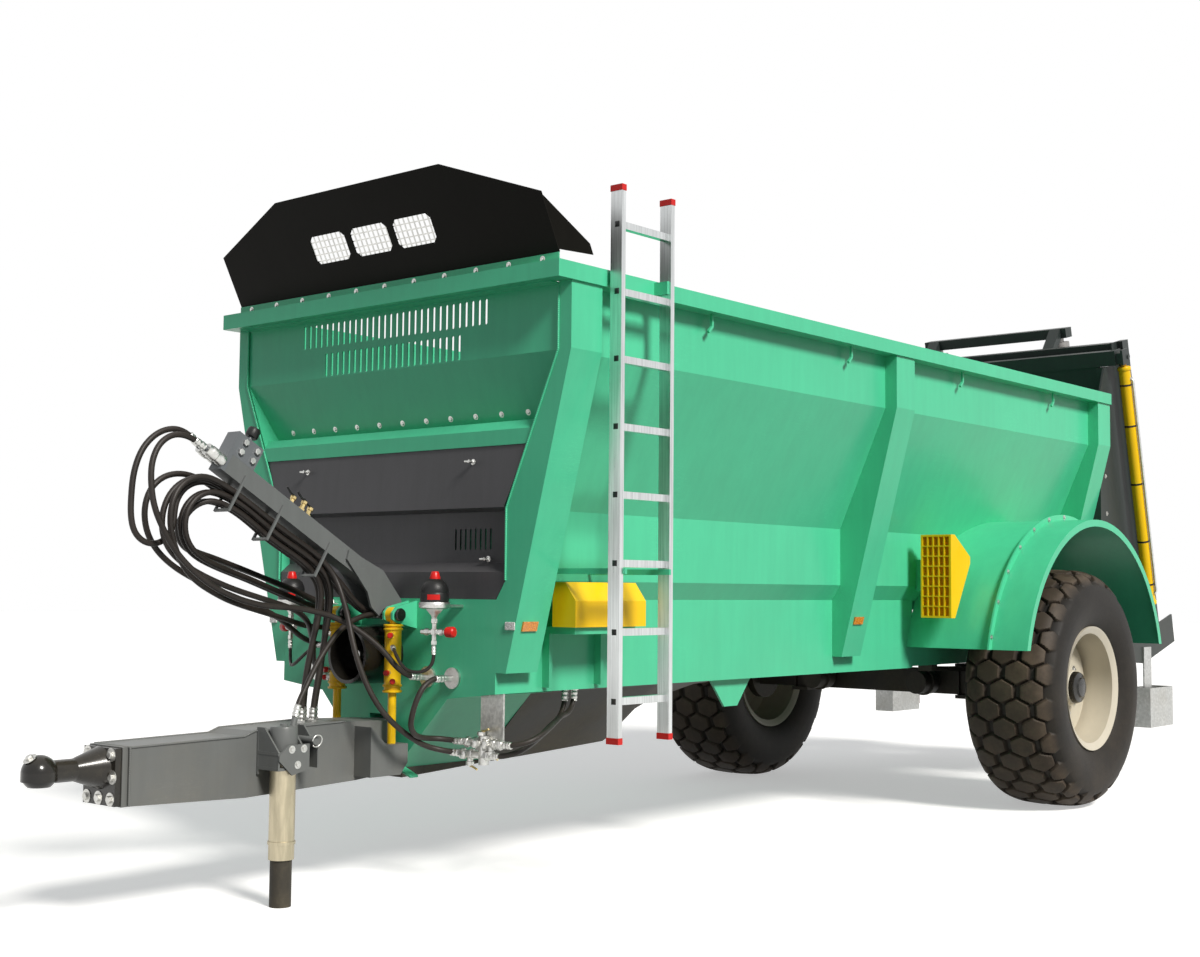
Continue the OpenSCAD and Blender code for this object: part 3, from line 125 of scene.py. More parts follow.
def tubeShape(path, radius, sides):
    # A circle carried along a path: ring i lies across the path's direction there, with radius[i]
    path = np.asarray(path, float)
    offPath = [0.4, 0.9, 0.03]      # a direction that no path takes
    d = unit(np.gradient(path, axis=0))
    a = unit(np.cross(d, offPath))
    b = np.cross(d, a)
    t = np.linspace(0, 2 * np.pi, sides, endpoint=False)
    ring = np.cos(t)[None, :, None] * a[:, None] + np.sin(t)[None, :, None] * b[:, None]
    r = np.broadcast_to(radius, len(path))
    points = (path[:, None] + ring * r[:, None, None]).reshape(-1, 3)
    faces = gridFaces(len(path), sides, wrapCols=True)[:, ::-1].tolist()
    first = list(range(sides))
    last = [(len(path) - 1) * sides + k for k in first]
    return points, faces + [first, last[::-1]]


def latheShape(profile, centre, axis, steps=32):
    # A profile of (radius, height) turned about an axis through centre
    axis = unit(np.asarray(axis, float))
    offAxis = [0.31, 0.2, 0.93] if abs(axis[2]) < 0.9 else [0.95, 0.3, 0.1]
    side = unit(np.cross(axis, offAxis))
    other = np.cross(axis, side)
    prof = np.asarray(profile, float)
    t = np.linspace(0, 2 * np.pi, steps, endpoint=False)
    ring = np.cos(t)[None, :, None] * side + np.sin(t)[None, :, None] * other
    points = np.asarray(centre, float) + prof[:, 0, None, None] * ring + prof[:, 1, None, None] * axis
    faces = gridFaces(len(prof), steps, wrapCols=True).tolist()
    first = list(range(steps))
    last = [(len(prof) - 1) * steps + k for k in first]
    return points.reshape(-1, 3), faces + [first[::-1], last]


# Radius and height of each ring of a bolt head, in bolt sizes, and whether the ring is round
headRings = [(1.15, 0, True), (1.15, 0.12, True), (0.62, 0.12, False), (0.62, 0.5, False), (0.5, 0.58, True),
             (0.001, 0.58, True)]


def hexHeads(places, normals, size):
    # A six-sided head with a chamfered crown on a round washer, copied to each place and turned to its normal
    offNormal = [0.37, 0.21, 0.91]      # a direction that no normal takes
    n = unit(np.asarray(normals, float))
    a = unit(np.cross(n, offNormal))
    b = np.cross(n, a)
    turn = np.linspace(0, 2 * np.pi, 12, endpoint=False)
    six = np.where(np.arange(12) % 2 == 0, 1.0, 0.866)
    rings = []
    for radius, height, isRound in headRings:
        reach = radius * size * (1 if isRound else six)
        rings.append(np.stack([reach * np.cos(turn), reach * np.sin(turn), np.full(12, height * size)], -1))
    local = np.concatenate(rings)
    points = places[:, None] + local @ np.stack([a, b, n], 1)
    one = gridFaces(len(headRings), 12, wrapCols=True)
    faces = one[None] + (np.arange(len(places)) * len(local))[:, None, None]
    return points.reshape(-1, 3), faces.reshape(-1, 4)


# Corner numbers of a block's sides, two for each axis, and of the edges between the sides of two axes
boxSides = ((0, 1, 3, 2), (4, 6, 7, 5), (0, 4, 5, 1), (2, 3, 7, 6), (0, 2, 6, 4), (1, 5, 7, 3))
boxEdges = ((0, 1, ((0, 1), (2, 3), (4, 5), (6, 7))), (0, 2, ((0, 2), (1, 3), (4, 6), (5, 7))),
            (1, 2, ((0, 4), (1, 5), (2, 6), (3, 7))))


def boxShape(low, high, bevel):
    # A block between two corners. Each corner is split into three points, one on each side that meets there,
    # moved inward along that side by bevel, or by a little less than half of a thin block
    low, high = np.asarray(low, float), np.asarray(high, float)
    bevel = min(bevel, float((high - low).min()) * 0.45)
    sign = np.array([[x, y, z] for x in (0, 1) for y in (0, 1) for z in (0, 1)])
    base = low + sign * (high - low)
    points = np.concatenate([base + (1 - 2 * sign) * bevel * (np.arange(3) != k) for k in range(3)])
    faces = [[i // 2 * 8 + corner for corner in side] for i, side in enumerate(boxSides)]
    for p, q, edges in boxEdges:
        faces += [[8 * p + a, 8 * p + b, 8 * q + b, 8 * q + a] for a, b in edges]
    faces += [[i, 8 + i, 16 + i] for i in range(8)]
    return points, faces


def sectionShape(sections):
    # Sections of equal length one behind the other, joined to a skin and closed by a face at each end
    rows, cols = len(sections), len(sections[0])
    points = place(np.array(sections, float).reshape(-1, 3))
    faces = gridFaces(rows, cols, wrapCols=True).tolist()
    return points, faces + [list(range(cols))[::-1], list(range((rows - 1) * cols, rows * cols))]


# Shader groups

def newGroup(name, values, results):
    # Coordinates and the named values come in, the named results go out
    group = bpy.data.node_groups.new(name, "ShaderNodeTree")
    group.interface.new_socket(name="Coords", in_out="INPUT", socket_type="NodeSocketVector")
    for label, value in values.items():
        socket = group.interface.new_socket(name=label, in_out="INPUT", socket_type="NodeSocketFloat")
        socket.default_value = value
    for label in results:
        group.interface.new_socket(name=label, in_out="OUTPUT", socket_type="NodeSocketFloat")
    return group, group.nodes.new("NodeGroupInput").outputs, group.nodes.new("NodeGroupOutput").inputs


def feed(tree, socket, value):
    # Another node's socket is linked, a plain value is set
    if isinstance(value, bpy.types.NodeSocket):
        tree.links.new(value, socket)
    else:
        socket.default_value = value


def node(tree, kind, inputs=None, **settings):
    n = tree.nodes.new(kind)
    for key, value in settings.items():
        setattr(n, key, value)
    for key, value in (inputs or {}).items():
        feed(tree, n.inputs[key], value)
    return n


def mathNode(tree, operation, a, b=0.0, clamp=False):
    return node(tree, "ShaderNodeMath", {0: a, 1: b}, operation=operation, use_clamp=clamp).outputs[0]


def times(tree, a, b):
    return mathNode(tree, "MULTIPLY", a, b)


def plus(tree, a, b, clamp=False):
    return mathNode(tree, "ADD", a, b, clamp)


def noiseNode(tree, coords, scale, detail=4.0, rough=0.55):
    inputs = {"Vector": coords, "Scale": scale, "Detail": detail, "Roughness": rough}
    return node(tree, "ShaderNodeTexNoise", inputs).outputs["Fac"]


def stretchNode(tree, coords, scale, turn=(0, 0, 0)):
    return node(tree, "ShaderNodeMapping", {"Vector": coords, "Rotation": turn, "Scale": scale}).outputs[0]


def rampNode(tree, fac, low, high):
    # Nothing up to low and one from high on, with a soft step between
    inputs = {"Value": fac, "From Min": low, "From Max": high}
    ramp = node(tree, "ShaderNodeMapRange", inputs, clamp=True, interpolation_type="SMOOTHSTEP")
    return ramp.outputs["Result"]


def mixColour(tree, fac, a, b):
    # Colour a where fac is nothing, and b where it is one
    n = node(tree, "ShaderNodeMix", {0: fac}, data_type="RGBA")
    for socket, colour in ((n.inputs[6], a), (n.inputs[7], b)):
        feed(tree, socket, colour if isinstance(colour, bpy.types.NodeSocket) else (*colour, 1))
    return n.outputs[2]


def groupIn(tree, group, **inputs):
    return node(tree, "ShaderNodeGroup", inputs, node_tree=group).outputs


dustSet = {"patchScale": 3.0, "speckScale": 42.0, "onTop": 0.3, "least": 0.25, "specks": 0.6}


def buildFieldDust(s):
    # Dust thickens toward the ground, up to Top, and lies on upward faces, broken up by two sizes of noise
    g, given, out = newGroup("fieldDust", {"Amount": 0.4, "Top": 1.4}, ["Mask"])
    z = node(g, "ShaderNodeSeparateXYZ", {0: given["Coords"]}).outputs["Z"]
    low = mathNode(g, "SUBTRACT", 1.0, mathNode(g, "DIVIDE", z, given["Top"]), clamp=True)
    broad = rampNode(g, noiseNode(g, given["Coords"], s["patchScale"], 5.0), 0.35, 0.75)
    fine = rampNode(g, noiseNode(g, given["Coords"], s["speckScale"], 6.0, 0.7), 0.45, 0.75)
    normal = node(g, "ShaderNodeNewGeometry").outputs["Normal"]
    lying = rampNode(g, node(g, "ShaderNodeSeparateXYZ", {0: normal}).outputs["Z"], 0.35, 1.0)
    field = times(g, plus(g, low, times(g, lying, s["onTop"])), plus(g, broad, s["least"]))
    spots = plus(g, field, times(g, fine, times(g, field, s["specks"])))
    g.links.new(mathNode(g, "MULTIPLY", spots, given["Amount"], clamp=True), out["Mask"])
    return g


skinSet = {"streakStretch": (6.0, 6.0, 0.7), "streakScale": 2.6}


def buildPaintSkin(s):
    # Orange peel of sprayed paint, with soft patches in gloss and upright streaks in tone
    g, given, out = newGroup("paintSkin", {"Peel": 220.0, "Patch": 2.2}, ["Height", "Gloss", "Tone"])
    peel = noiseNode(g, given["Coords"], given["Peel"], 2.0, 0.5)
    patch = noiseNode(g, given["Coords"], given["Patch"], 4.0, 0.6)
    tall = stretchNode(g, given["Coords"], s["streakStretch"])
    streaks = noiseNode(g, tall, s["streakScale"], 5.0, 0.65)
    g.links.new(peel, out["Height"])
    g.links.new(patch, out["Gloss"])
    g.links.new(times(g, plus(g, patch, streaks), 0.5), out["Tone"])
    return g


scuffSet = {"turns": ((0.3, 0.5, 0.2), (1.2, 0.2, 0.9)), "stretch": (1.0, 9.0, 9.0), "width": 0.012,
            "patchScale": 2.3}


def buildScuffs(s):
    # Thin crossing scratches: stretched noise cut to a narrow band, in two directions
    g, given, out = newGroup("scuffs", {"Scale": 9.0, "Amount": 0.5}, ["Mask"])
    bands = []
    for turn in s["turns"]:
        turned = stretchNode(g, given["Coords"], s["stretch"], turn)
        grain = noiseNode(g, turned, given["Scale"], 3.0, 0.5)
        ridge = mathNode(g, "ABSOLUTE", mathNode(g, "SUBTRACT", grain, 0.5))
        bands.append(mathNode(g, "SUBTRACT", 1.0, rampNode(g, ridge, 0.0, s["width"])))
    worn = rampNode(g, noiseNode(g, given["Coords"], s["patchScale"], 3.0), 0.5, 0.72)
    both = times(g, mathNode(g, "MAXIMUM", *bands), worn)
    g.links.new(mathNode(g, "MULTIPLY", both, given["Amount"], clamp=True), out["Mask"])
    return g


dustGroup, skinGroup, scuffGroup = buildFieldDust(dustSet), buildPaintSkin(skinSet), buildScuffs(scuffSet)


# Materials

def shade(r, g, b):
    # A colour as it is read off a screen, turned linear
    c = np.array([r, g, b]) / 255
    return tuple(np.where(c <= 0.04045, c / 12.92, ((c + 0.055) / 1.055) ** 2.4).tolist())


def tint(colour, factor, add=0.0):
    # A colour made darker or lighter, up to white
    return tuple(np.minimum(np.array(colour) * factor + add, 1).tolist())


dustTone = shade(150, 138, 112)


plainInputs = {"metal": "Metallic", "shine": "Specular IOR Level", "rough": "Roughness",
               "coat": "Coat Weight", "coatRough": "Coat Roughness"}


def startMaterial(name, **plain):
    # A Principled material with the plain values set that are given
    m = bpy.data.materials.new(name)
    m.use_nodes = True
    tree = m.node_tree
    tree.nodes.clear()
    out = tree.nodes.new("ShaderNodeOutputMaterial")
    bsdf = tree.nodes.new("ShaderNodeBsdfPrincipled")
    tree.links.new(bsdf.outputs[0], out.inputs[0])
    for key, value in plain.items():
        bsdf.inputs[plainInputs[key]].default_value = value
    return m, tree, bsdf, tree.nodes.new("ShaderNodeTexCoord").outputs["Object"]


def bumpInto(tree, bsdf, height, strength, distance):
    bump = node(tree, "ShaderNodeBump", {"Strength": strength, "Distance": distance, "Height": height})
    tree.links.new(bump.outputs[0], bsdf.inputs["Normal"])


def roughInto(tree, bsdf, pattern, swing, start, dirt, dull):
    # Roughness goes up from start by swing with the pattern, and by dull where dust lies
    r = plus(tree, times(tree, pattern, swing), start)
    tree.links.new(plus(tree, r, times(tree, dirt, dull), clamp=True), bsdf.inputs["Roughness"])


def paint(name, colour, rough=0.36, dust=0.25, dustTop=1.4, tone=0.16, metal=0.0, coat=0.06, shine=0.28,
          scuff=0.25):
    # Sprayed paint: colour drifts with Tone, scuffs are paler, dust comes from below
    m, tree, bsdf, coords = startMaterial(name, metal=metal, shine=shine, coat=coat, coatRough=0.12)
    skin = groupIn(tree, skinGroup, Coords=coords, Peel=220.0)
    dirt = groupIn(tree, dustGroup, Coords=coords, Amount=dust, Top=dustTop)["Mask"]
    marks = groupIn(tree, scuffGroup, Coords=coords, Amount=scuff)["Mask"]
    drift = rampNode(tree, skin["Tone"], 0.3, 0.7)
    base = mixColour(tree, drift, tint(colour, 1 - tone), tint(colour, 1 + tone * 0.6))
    base = mixColour(tree, marks, base, tint(colour, 1.5, 0.03))
    tree.links.new(mixColour(tree, dirt, base, dustTone), bsdf.inputs["Base Color"])
    roughInto(tree, bsdf, skin["Gloss"], 0.16, rough - 0.08, dirt, 0.4)
    bumpInto(tree, bsdf, skin["Height"], 0.08, 0.002)
    return m


def plated(name, colour, rough=0.32, stretch=(1, 1, 1), scale=60.0, dust=0.15, spangle=0.0, metal=1.0,
           depth=0.12):
    # Plated or bare metal: grain stretched along one way, clouded, with spangle cells for hot dip
    m, tree, bsdf, coords = startMaterial(name, metal=metal)
    grain = noiseNode(tree, stretchNode(tree, coords, stretch), scale, 5.0, 0.6)
    cloud = rampNode(tree, noiseNode(tree, coords, 5.0, 4.0, 0.6), 0.45, 0.8)
    base = mixColour(tree, rampNode(tree, grain, 0.3, 0.7), tint(colour, 0.82), tint(colour, 1.1))
    if spangle:
        cells = node(tree, "ShaderNodeTexVoronoi", {"Vector": coords, "Scale": 55.0}).outputs["Color"]
        value = node(tree, "ShaderNodeSeparateColor", {0: cells}).outputs[0]
        base = mixColour(tree, times(tree, value, spangle), base, tint(colour, 0.62))
    base = mixColour(tree, times(tree, cloud, 0.35), base, tint(colour, 0.7))
    dirt = groupIn(tree, dustGroup, Coords=coords, Amount=dust)["Mask"]
    tree.links.new(mixColour(tree, dirt, base, dustTone), bsdf.inputs["Base Color"])
    roughInto(tree, bsdf, grain, 0.22, rough - 0.1, dirt, 0.4)
    bumpInto(tree, bsdf, grain, depth, 0.001)
    return m


def rubber(name, colour, rough=0.72, dust=0.5, dustTop=1.2, scale=120.0, tone=dustTone, worn=None, shine=0.3):
    # Rubber with a fine moulded skin, greyed in patches, and worn where the attribute of that name says so
    m, tree, bsdf, coords = startMaterial(name, shine=shine)
    skin = noiseNode(tree, coords, scale, 5.0, 0.65)
    bloom = times(tree, rampNode(tree, noiseNode(tree, coords, 6.0, 5.0, 0.65), 0.4, 0.75), 0.5)
    dirt = groupIn(tree, dustGroup, Coords=coords, Amount=dust, Top=dustTop)["Mask"]
    base = mixColour(tree, bloom, colour, tint(colour, 1.9, 0.004))
    if worn:
        tops = node(tree, "ShaderNodeAttribute", attribute_name="worn").outputs["Fac"]
        base = mixColour(tree, times(tree, tops, plus(tree, bloom, 0.35)), base, worn)
    tree.links.new(mixColour(tree, dirt, base, tone), bsdf.inputs["Base Color"])
    roughInto(tree, bsdf, skin, 0.2, rough - 0.1, dirt, 0.2)
    bumpInto(tree, bsdf, skin, 0.25, 0.0015)
    return m


def prism(name, colour):
    # A reflector's moulded prisms: small cells pressed into a clear coloured plate
    m, tree, bsdf, coords = startMaterial(name, rough=0.14, coat=0.8, coatRough=0.05)
    cells = node(tree, "ShaderNodeTexVoronoi", {"Vector": coords, "Scale": 180.0}).outputs["Distance"]
    base = mixColour(tree, rampNode(tree, cells, 0.1, 0.7), tint(colour, 1.25), tint(colour, 0.6))
    tree.links.new(base, bsdf.inputs["Base Color"])
    bumpInto(tree, bsdf, cells, 0.5, 0.002)
    return m


greenPaint = paint("turquoiseGreenPaint", shade(78, 196, 151), dust=0.06, tone=0.07)
hoodPaint = paint("hoodGreyPaint", shade(73, 73, 76), rough=0.42, dust=0.06, tone=0.12, scuff=0.3)
guardPaint = paint("guardBlackPaint", shade(20, 19, 16), rough=0.5, dust=0.02, tone=0.2, scuff=0.1, coat=0.0,
                   shine=0.06)
greyPaint = paint("drawbarGreyPaint", shade(104, 107, 107), rough=0.42, dust=0.16, dustTop=1.2, tone=0.1)
blackGloss = paint("couplingBlackPaint", shade(16, 16, 17), rough=0.24, dust=0.1, coat=0.3, tone=0.2)
rearPaint = paint("gateDarkPaint", shade(42, 49, 48), rough=0.45, dust=0.12, tone=0.18, coat=0.0)
panelPaint = paint("rearPanelGreyPaint", shade(104, 108, 112), rough=0.42, dust=0.2, tone=0.1)
yellowPaint = paint("cylinderYellowPaint", shade(250, 200, 8), dust=0.06, tone=0.06)
rimPaint = paint("rimSilverPaint", shade(204, 197, 180), rough=0.34, dust=0.14, dustTop=1.0, tone=0.05,
                 metal=0.1)
darkSteel = paint("axleDarkPaint", shade(34, 34, 34), rough=0.55, dust=0.35, dustTop=1.1, tone=0.2, coat=0.0)
zinc = plated("zincPlating", (0.62, 0.62, 0.60), rough=0.34, spangle=0.1)
galvanised = plated("hotDipZinc", (0.60, 0.61, 0.60), rough=0.42, spangle=0.45, dust=0.25)
aluminium = plated("ladderAluminium", (0.68, 0.70, 0.70), rough=0.30, stretch=(1, 1, 0.02), scale=160.0,
                   dust=0.05)
chromeRod = plated("hardChrome", (0.78, 0.78, 0.80), rough=0.16, stretch=(1, 1, 0.05), scale=90.0, dust=0.05,
                   depth=0.03)
wornSteel = plated("beaterWornSteel", (0.34, 0.33, 0.32), rough=0.48, scale=25.0, dust=0.35, metal=0.85)
legZinc = plated("legYellowZinc", (0.52, 0.46, 0.33), rough=0.36, stretch=(1, 1, 0.15), scale=50.0)
brass = plated("fittingBrass", (0.66, 0.52, 0.25), rough=0.3, dust=0.1)
tyreRubber = rubber("tyreRubber", shade(20, 18, 16), rough=0.6, dust=0.12, dustTop=1.5,
                    tone=shade(104, 90, 72), worn=shade(92, 79, 66), shine=0.25)
hoseRubber = rubber("hoseRubber", shade(36, 31, 28), rough=0.46, dust=0.06, scale=260.0)
blackPlastic = rubber("blackPlastic", shade(26, 26, 27), rough=0.42, dust=0.12, scale=200.0)
redPlastic = paint("redPlastic", shade(206, 26, 22), rough=0.34, dust=0.05, tone=0.06, scuff=0.1)
amberPrism = prism("amberPrism", shade(255, 150, 20))
whitePrism = prism("whitePrism", shade(226, 228, 226))
redPrism = prism("redPrism", shade(190, 16, 14))
print("materials made:", len(bpy.data.materials))

finishes = {
    "green_paint": greenPaint, "hood_paint": hoodPaint, "guard_paint": guardPaint, "zinc": zinc,
    "grey_paint": greyPaint, "black_paint": blackGloss, "dark_steel": darkSteel, "rear_paint": rearPaint,
    "beater_steel": wornSteel, "yellow_paint": yellowPaint, "rod_chrome": chromeRod,
    "tyre_rubber": tyreRubber, "rim_paint": rimPaint, "ladder_aluminium": aluminium,
    "red_plastic": redPlastic, "amber_plastic": amberPrism, "hose_rubber": hoseRubber,
}
special = {"lamp_boxes": galvanised, "leg_tube": legZinc, "rear_lamps": redPrism, "valve_block": panelPaint}
for entry in frame["record"]["subparts"]:
    solid = nodes[entry["node"]]
    solid.data.materials.clear()
    solid.data.materials.append(special.get(entry["node"], finishes[entry["material_slot"]]))

# Camera

cameraSet = {"at": (4662.3, 5297.1, 1266.4), "turn": 40.4, "lift": 4.0, "roll": 0.5, "lens": 47.54,
             "sensor": 36.0, "farthest": 200}


def makeCamera(s):
    # The view direction from turn and lift, then the sideways and upward directions turned by roll
    turn, lift, roll = (math.radians(s[k]) for k in ("turn", "lift", "roll"))
    ahead = np.array([-math.cos(turn) * math.cos(lift), -math.sin(turn) * math.cos(lift), math.sin(lift)])
    right = unit(np.cross(ahead, upward))
    up = np.cross(right, ahead)
    rolledRight = math.cos(roll) * right + math.sin(roll) * up
    rolledUp = math.cos(roll) * up - math.sin(roll) * right
    data = bpy.data.cameras.new("photoCamera")
    data.lens, data.sensor_width, data.sensor_fit = s["lens"], s["sensor"], "HORIZONTAL"
    data.clip_end = s["farthest"]
    camera = bpy.data.objects.new("photoCamera", data)
    scene.collection.objects.link(camera)
    columns = np.stack([rolledRight, rolledUp, -ahead, spotAt(*s["at"])], 1)
    camera.matrix_world = Matrix([*columns.tolist(), [0, 0, 0, 1]])
    scene.camera = camera


makeCamera(cameraSet)

# Hoses

hoseSet = {"diameter": 0.024, "sides": 18, "count": 145, "rounds": 5, "ferruleLength": 0.055,
           "ferruleRadius": 0.0152, "ferruleRings": 15, "crimps": 3, "crimpDepth": 0.0012, "lip": 0.0008,
           "gland": [(0, -0.008), (0.021, -0.008), (0.021, 0.004), (0.019, 0.006), (0.0005, 0.006)]}
hoseRoutes = {
    "hose_1": [
        [-30, 33, 1150], [30, 33, 1152], [90, 33, 1176], [145, 33, 1218], [195, 33, 1268], [250, 33, 1316],
        [330, 33, 1373], [544, 33, 1497], [804, 33, 1647], [880, 33, 1678], [950, 33, 1672],
        [1005, 33, 1636], [1033, 33, 1580], [1036, 33, 1520], [1049, 33, 1472], [1084, 33, 1437],
        [1132, 33, 1424], [1180, 33, 1437], [1215, 33, 1472], [1228, 33, 1520], [1230, 33, 1610],
        [1220, 33, 1705], [1180, 33, 1800], [1110, 33, 1862], [1035, 33, 1880], [980, 33, 1862],
        [935, 33, 1825]],
    "hose_2": [
        [940, 87, 1810], [1010, 87, 1845], [1085, 90, 1850], [1150, 94, 1810], [1185, 98, 1740],
        [1190, 102, 1655], [1175, 106, 1565], [1135, 110, 1480], [1080, 112, 1400], [1005, 114, 1330],
        [915, 116, 1270], [810, 116, 1225], [690, 116, 1195], [430, 120, 1170], [310, 140, 1140],
        [210, 190, 1080], [130, 245, 1000], [75, 280, 925], [20, 292, 892], [-40, 293, 885]],
    "hose_3": [
        [-30, 60, 1150], [30, 60, 1152], [90, 60, 1176], [145, 60, 1218], [195, 60, 1268], [250, 60, 1316],
        [330, 60, 1373], [544, 60, 1497], [804, 60, 1647], [870, 60, 1679], [940, 60, 1692],
        [1010, 60, 1678], [1070, 60, 1632], [1104, 60, 1565], [1110, 59, 1492], [1086, 56, 1425],
        [1030, 53, 1370], [950, 50, 1326], [850, 46, 1286], [740, 41, 1251], [620, 33, 1221],
        [510, 20, 1195], [390, -10, 1165], [290, -60, 1120], [210, -130, 1060], [130, -210, 990],
        [75, -270, 925], [20, -291, 892], [-40, -293, 885]],
    "hose_4": [
        [-40, 444, 885], [20, 444, 885], [75, 440, 855], [105, 430, 800], [113, 413, 738], [101, 394, 692],
        [66, 378, 656], [12, 366, 637], [-40, 363, 630], [-78, 376, 627], [-106, 406, 623],
        [-120, 445, 620], [-122, 480, 620]],
    "hose_5": [
        [-30, 87, 1150], [60, 87, 1150], [150, 90, 1130], [240, 98, 1085], [320, 110, 1015],
        [390, 122, 935], [450, 136, 855], [495, 147, 790], [515, 151, 735]],
}


def smoothRoute(points, count):
    # A curve through the points: between two of them a cubic whose slopes come from the points on either side
    p = np.asarray(points, float)
    t = runAlong(p)
    slope = np.gradient(p, t, axis=0)
    u = np.linspace(0, t[-1], count)
    k = np.clip(np.searchsorted(t, u, side="right") - 1, 0, len(p) - 2)
    h = (t[k + 1] - t[k])[:, None]
    w = ((u - t[k])[:, None]) / h
    return ((2 * w ** 3 - 3 * w ** 2 + 1) * p[k] + (w ** 3 - 2 * w ** 2 + w) * h * slope[k]
            + (3 * w ** 2 - 2 * w ** 3) * p[k + 1] + (w ** 3 - w ** 2) * h * slope[k + 1])


def evenOut(path, rounds):
    # Each point but the two at either end moves halfway to the middle of its neighbours, which rounds kinks
    for _ in range(rounds):
        path[2:-2] += 0.5 * ((path[1:-3] + path[3:-1]) / 2 - path[2:-2])
    return path


def makeHose(name, route, s, replaced=None, glands=False):
    # A tube along the smooth route, with a ferrule crimped in waves at each end, and a nut if it has glands
    path = evenOut(place(smoothRoute(route, s["count"])), s["rounds"])
    tube = tubeShape(path, s["diameter"] / 2, s["sides"])
    piece = putShapes(name + "_skin", [tube], hoseRubber, "hose_rubber", sharp=None)
    if replaced:
        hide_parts(replaced)
    along = np.linspace(0, s["ferruleLength"], s["ferruleRings"])
    waves = np.cos(np.linspace(0, 2 * np.pi * s["crimps"], s["ferruleRings"]))
    r = s["ferruleRadius"] + s["crimpDepth"] * waves
    r[[0, -1]] = s["diameter"] / 2 + s["lip"]
    fittings = []
    for end, inward in ((path[0], path[1] - path[0]), (path[-1], path[-2] - path[-1])):
        d = unit(inward)
        fittings.append(tubeShape(end + along[:, None] * d, r, 16))
        if glands:
            fittings.append(latheShape(s["gland"], end, d, 6))
    putShapes(name + "_ferrules", fittings, zinc, "zinc", sharp=35)


for name, route in hoseRoutes.items():
    makeHose(name, route, hoseSet, name)

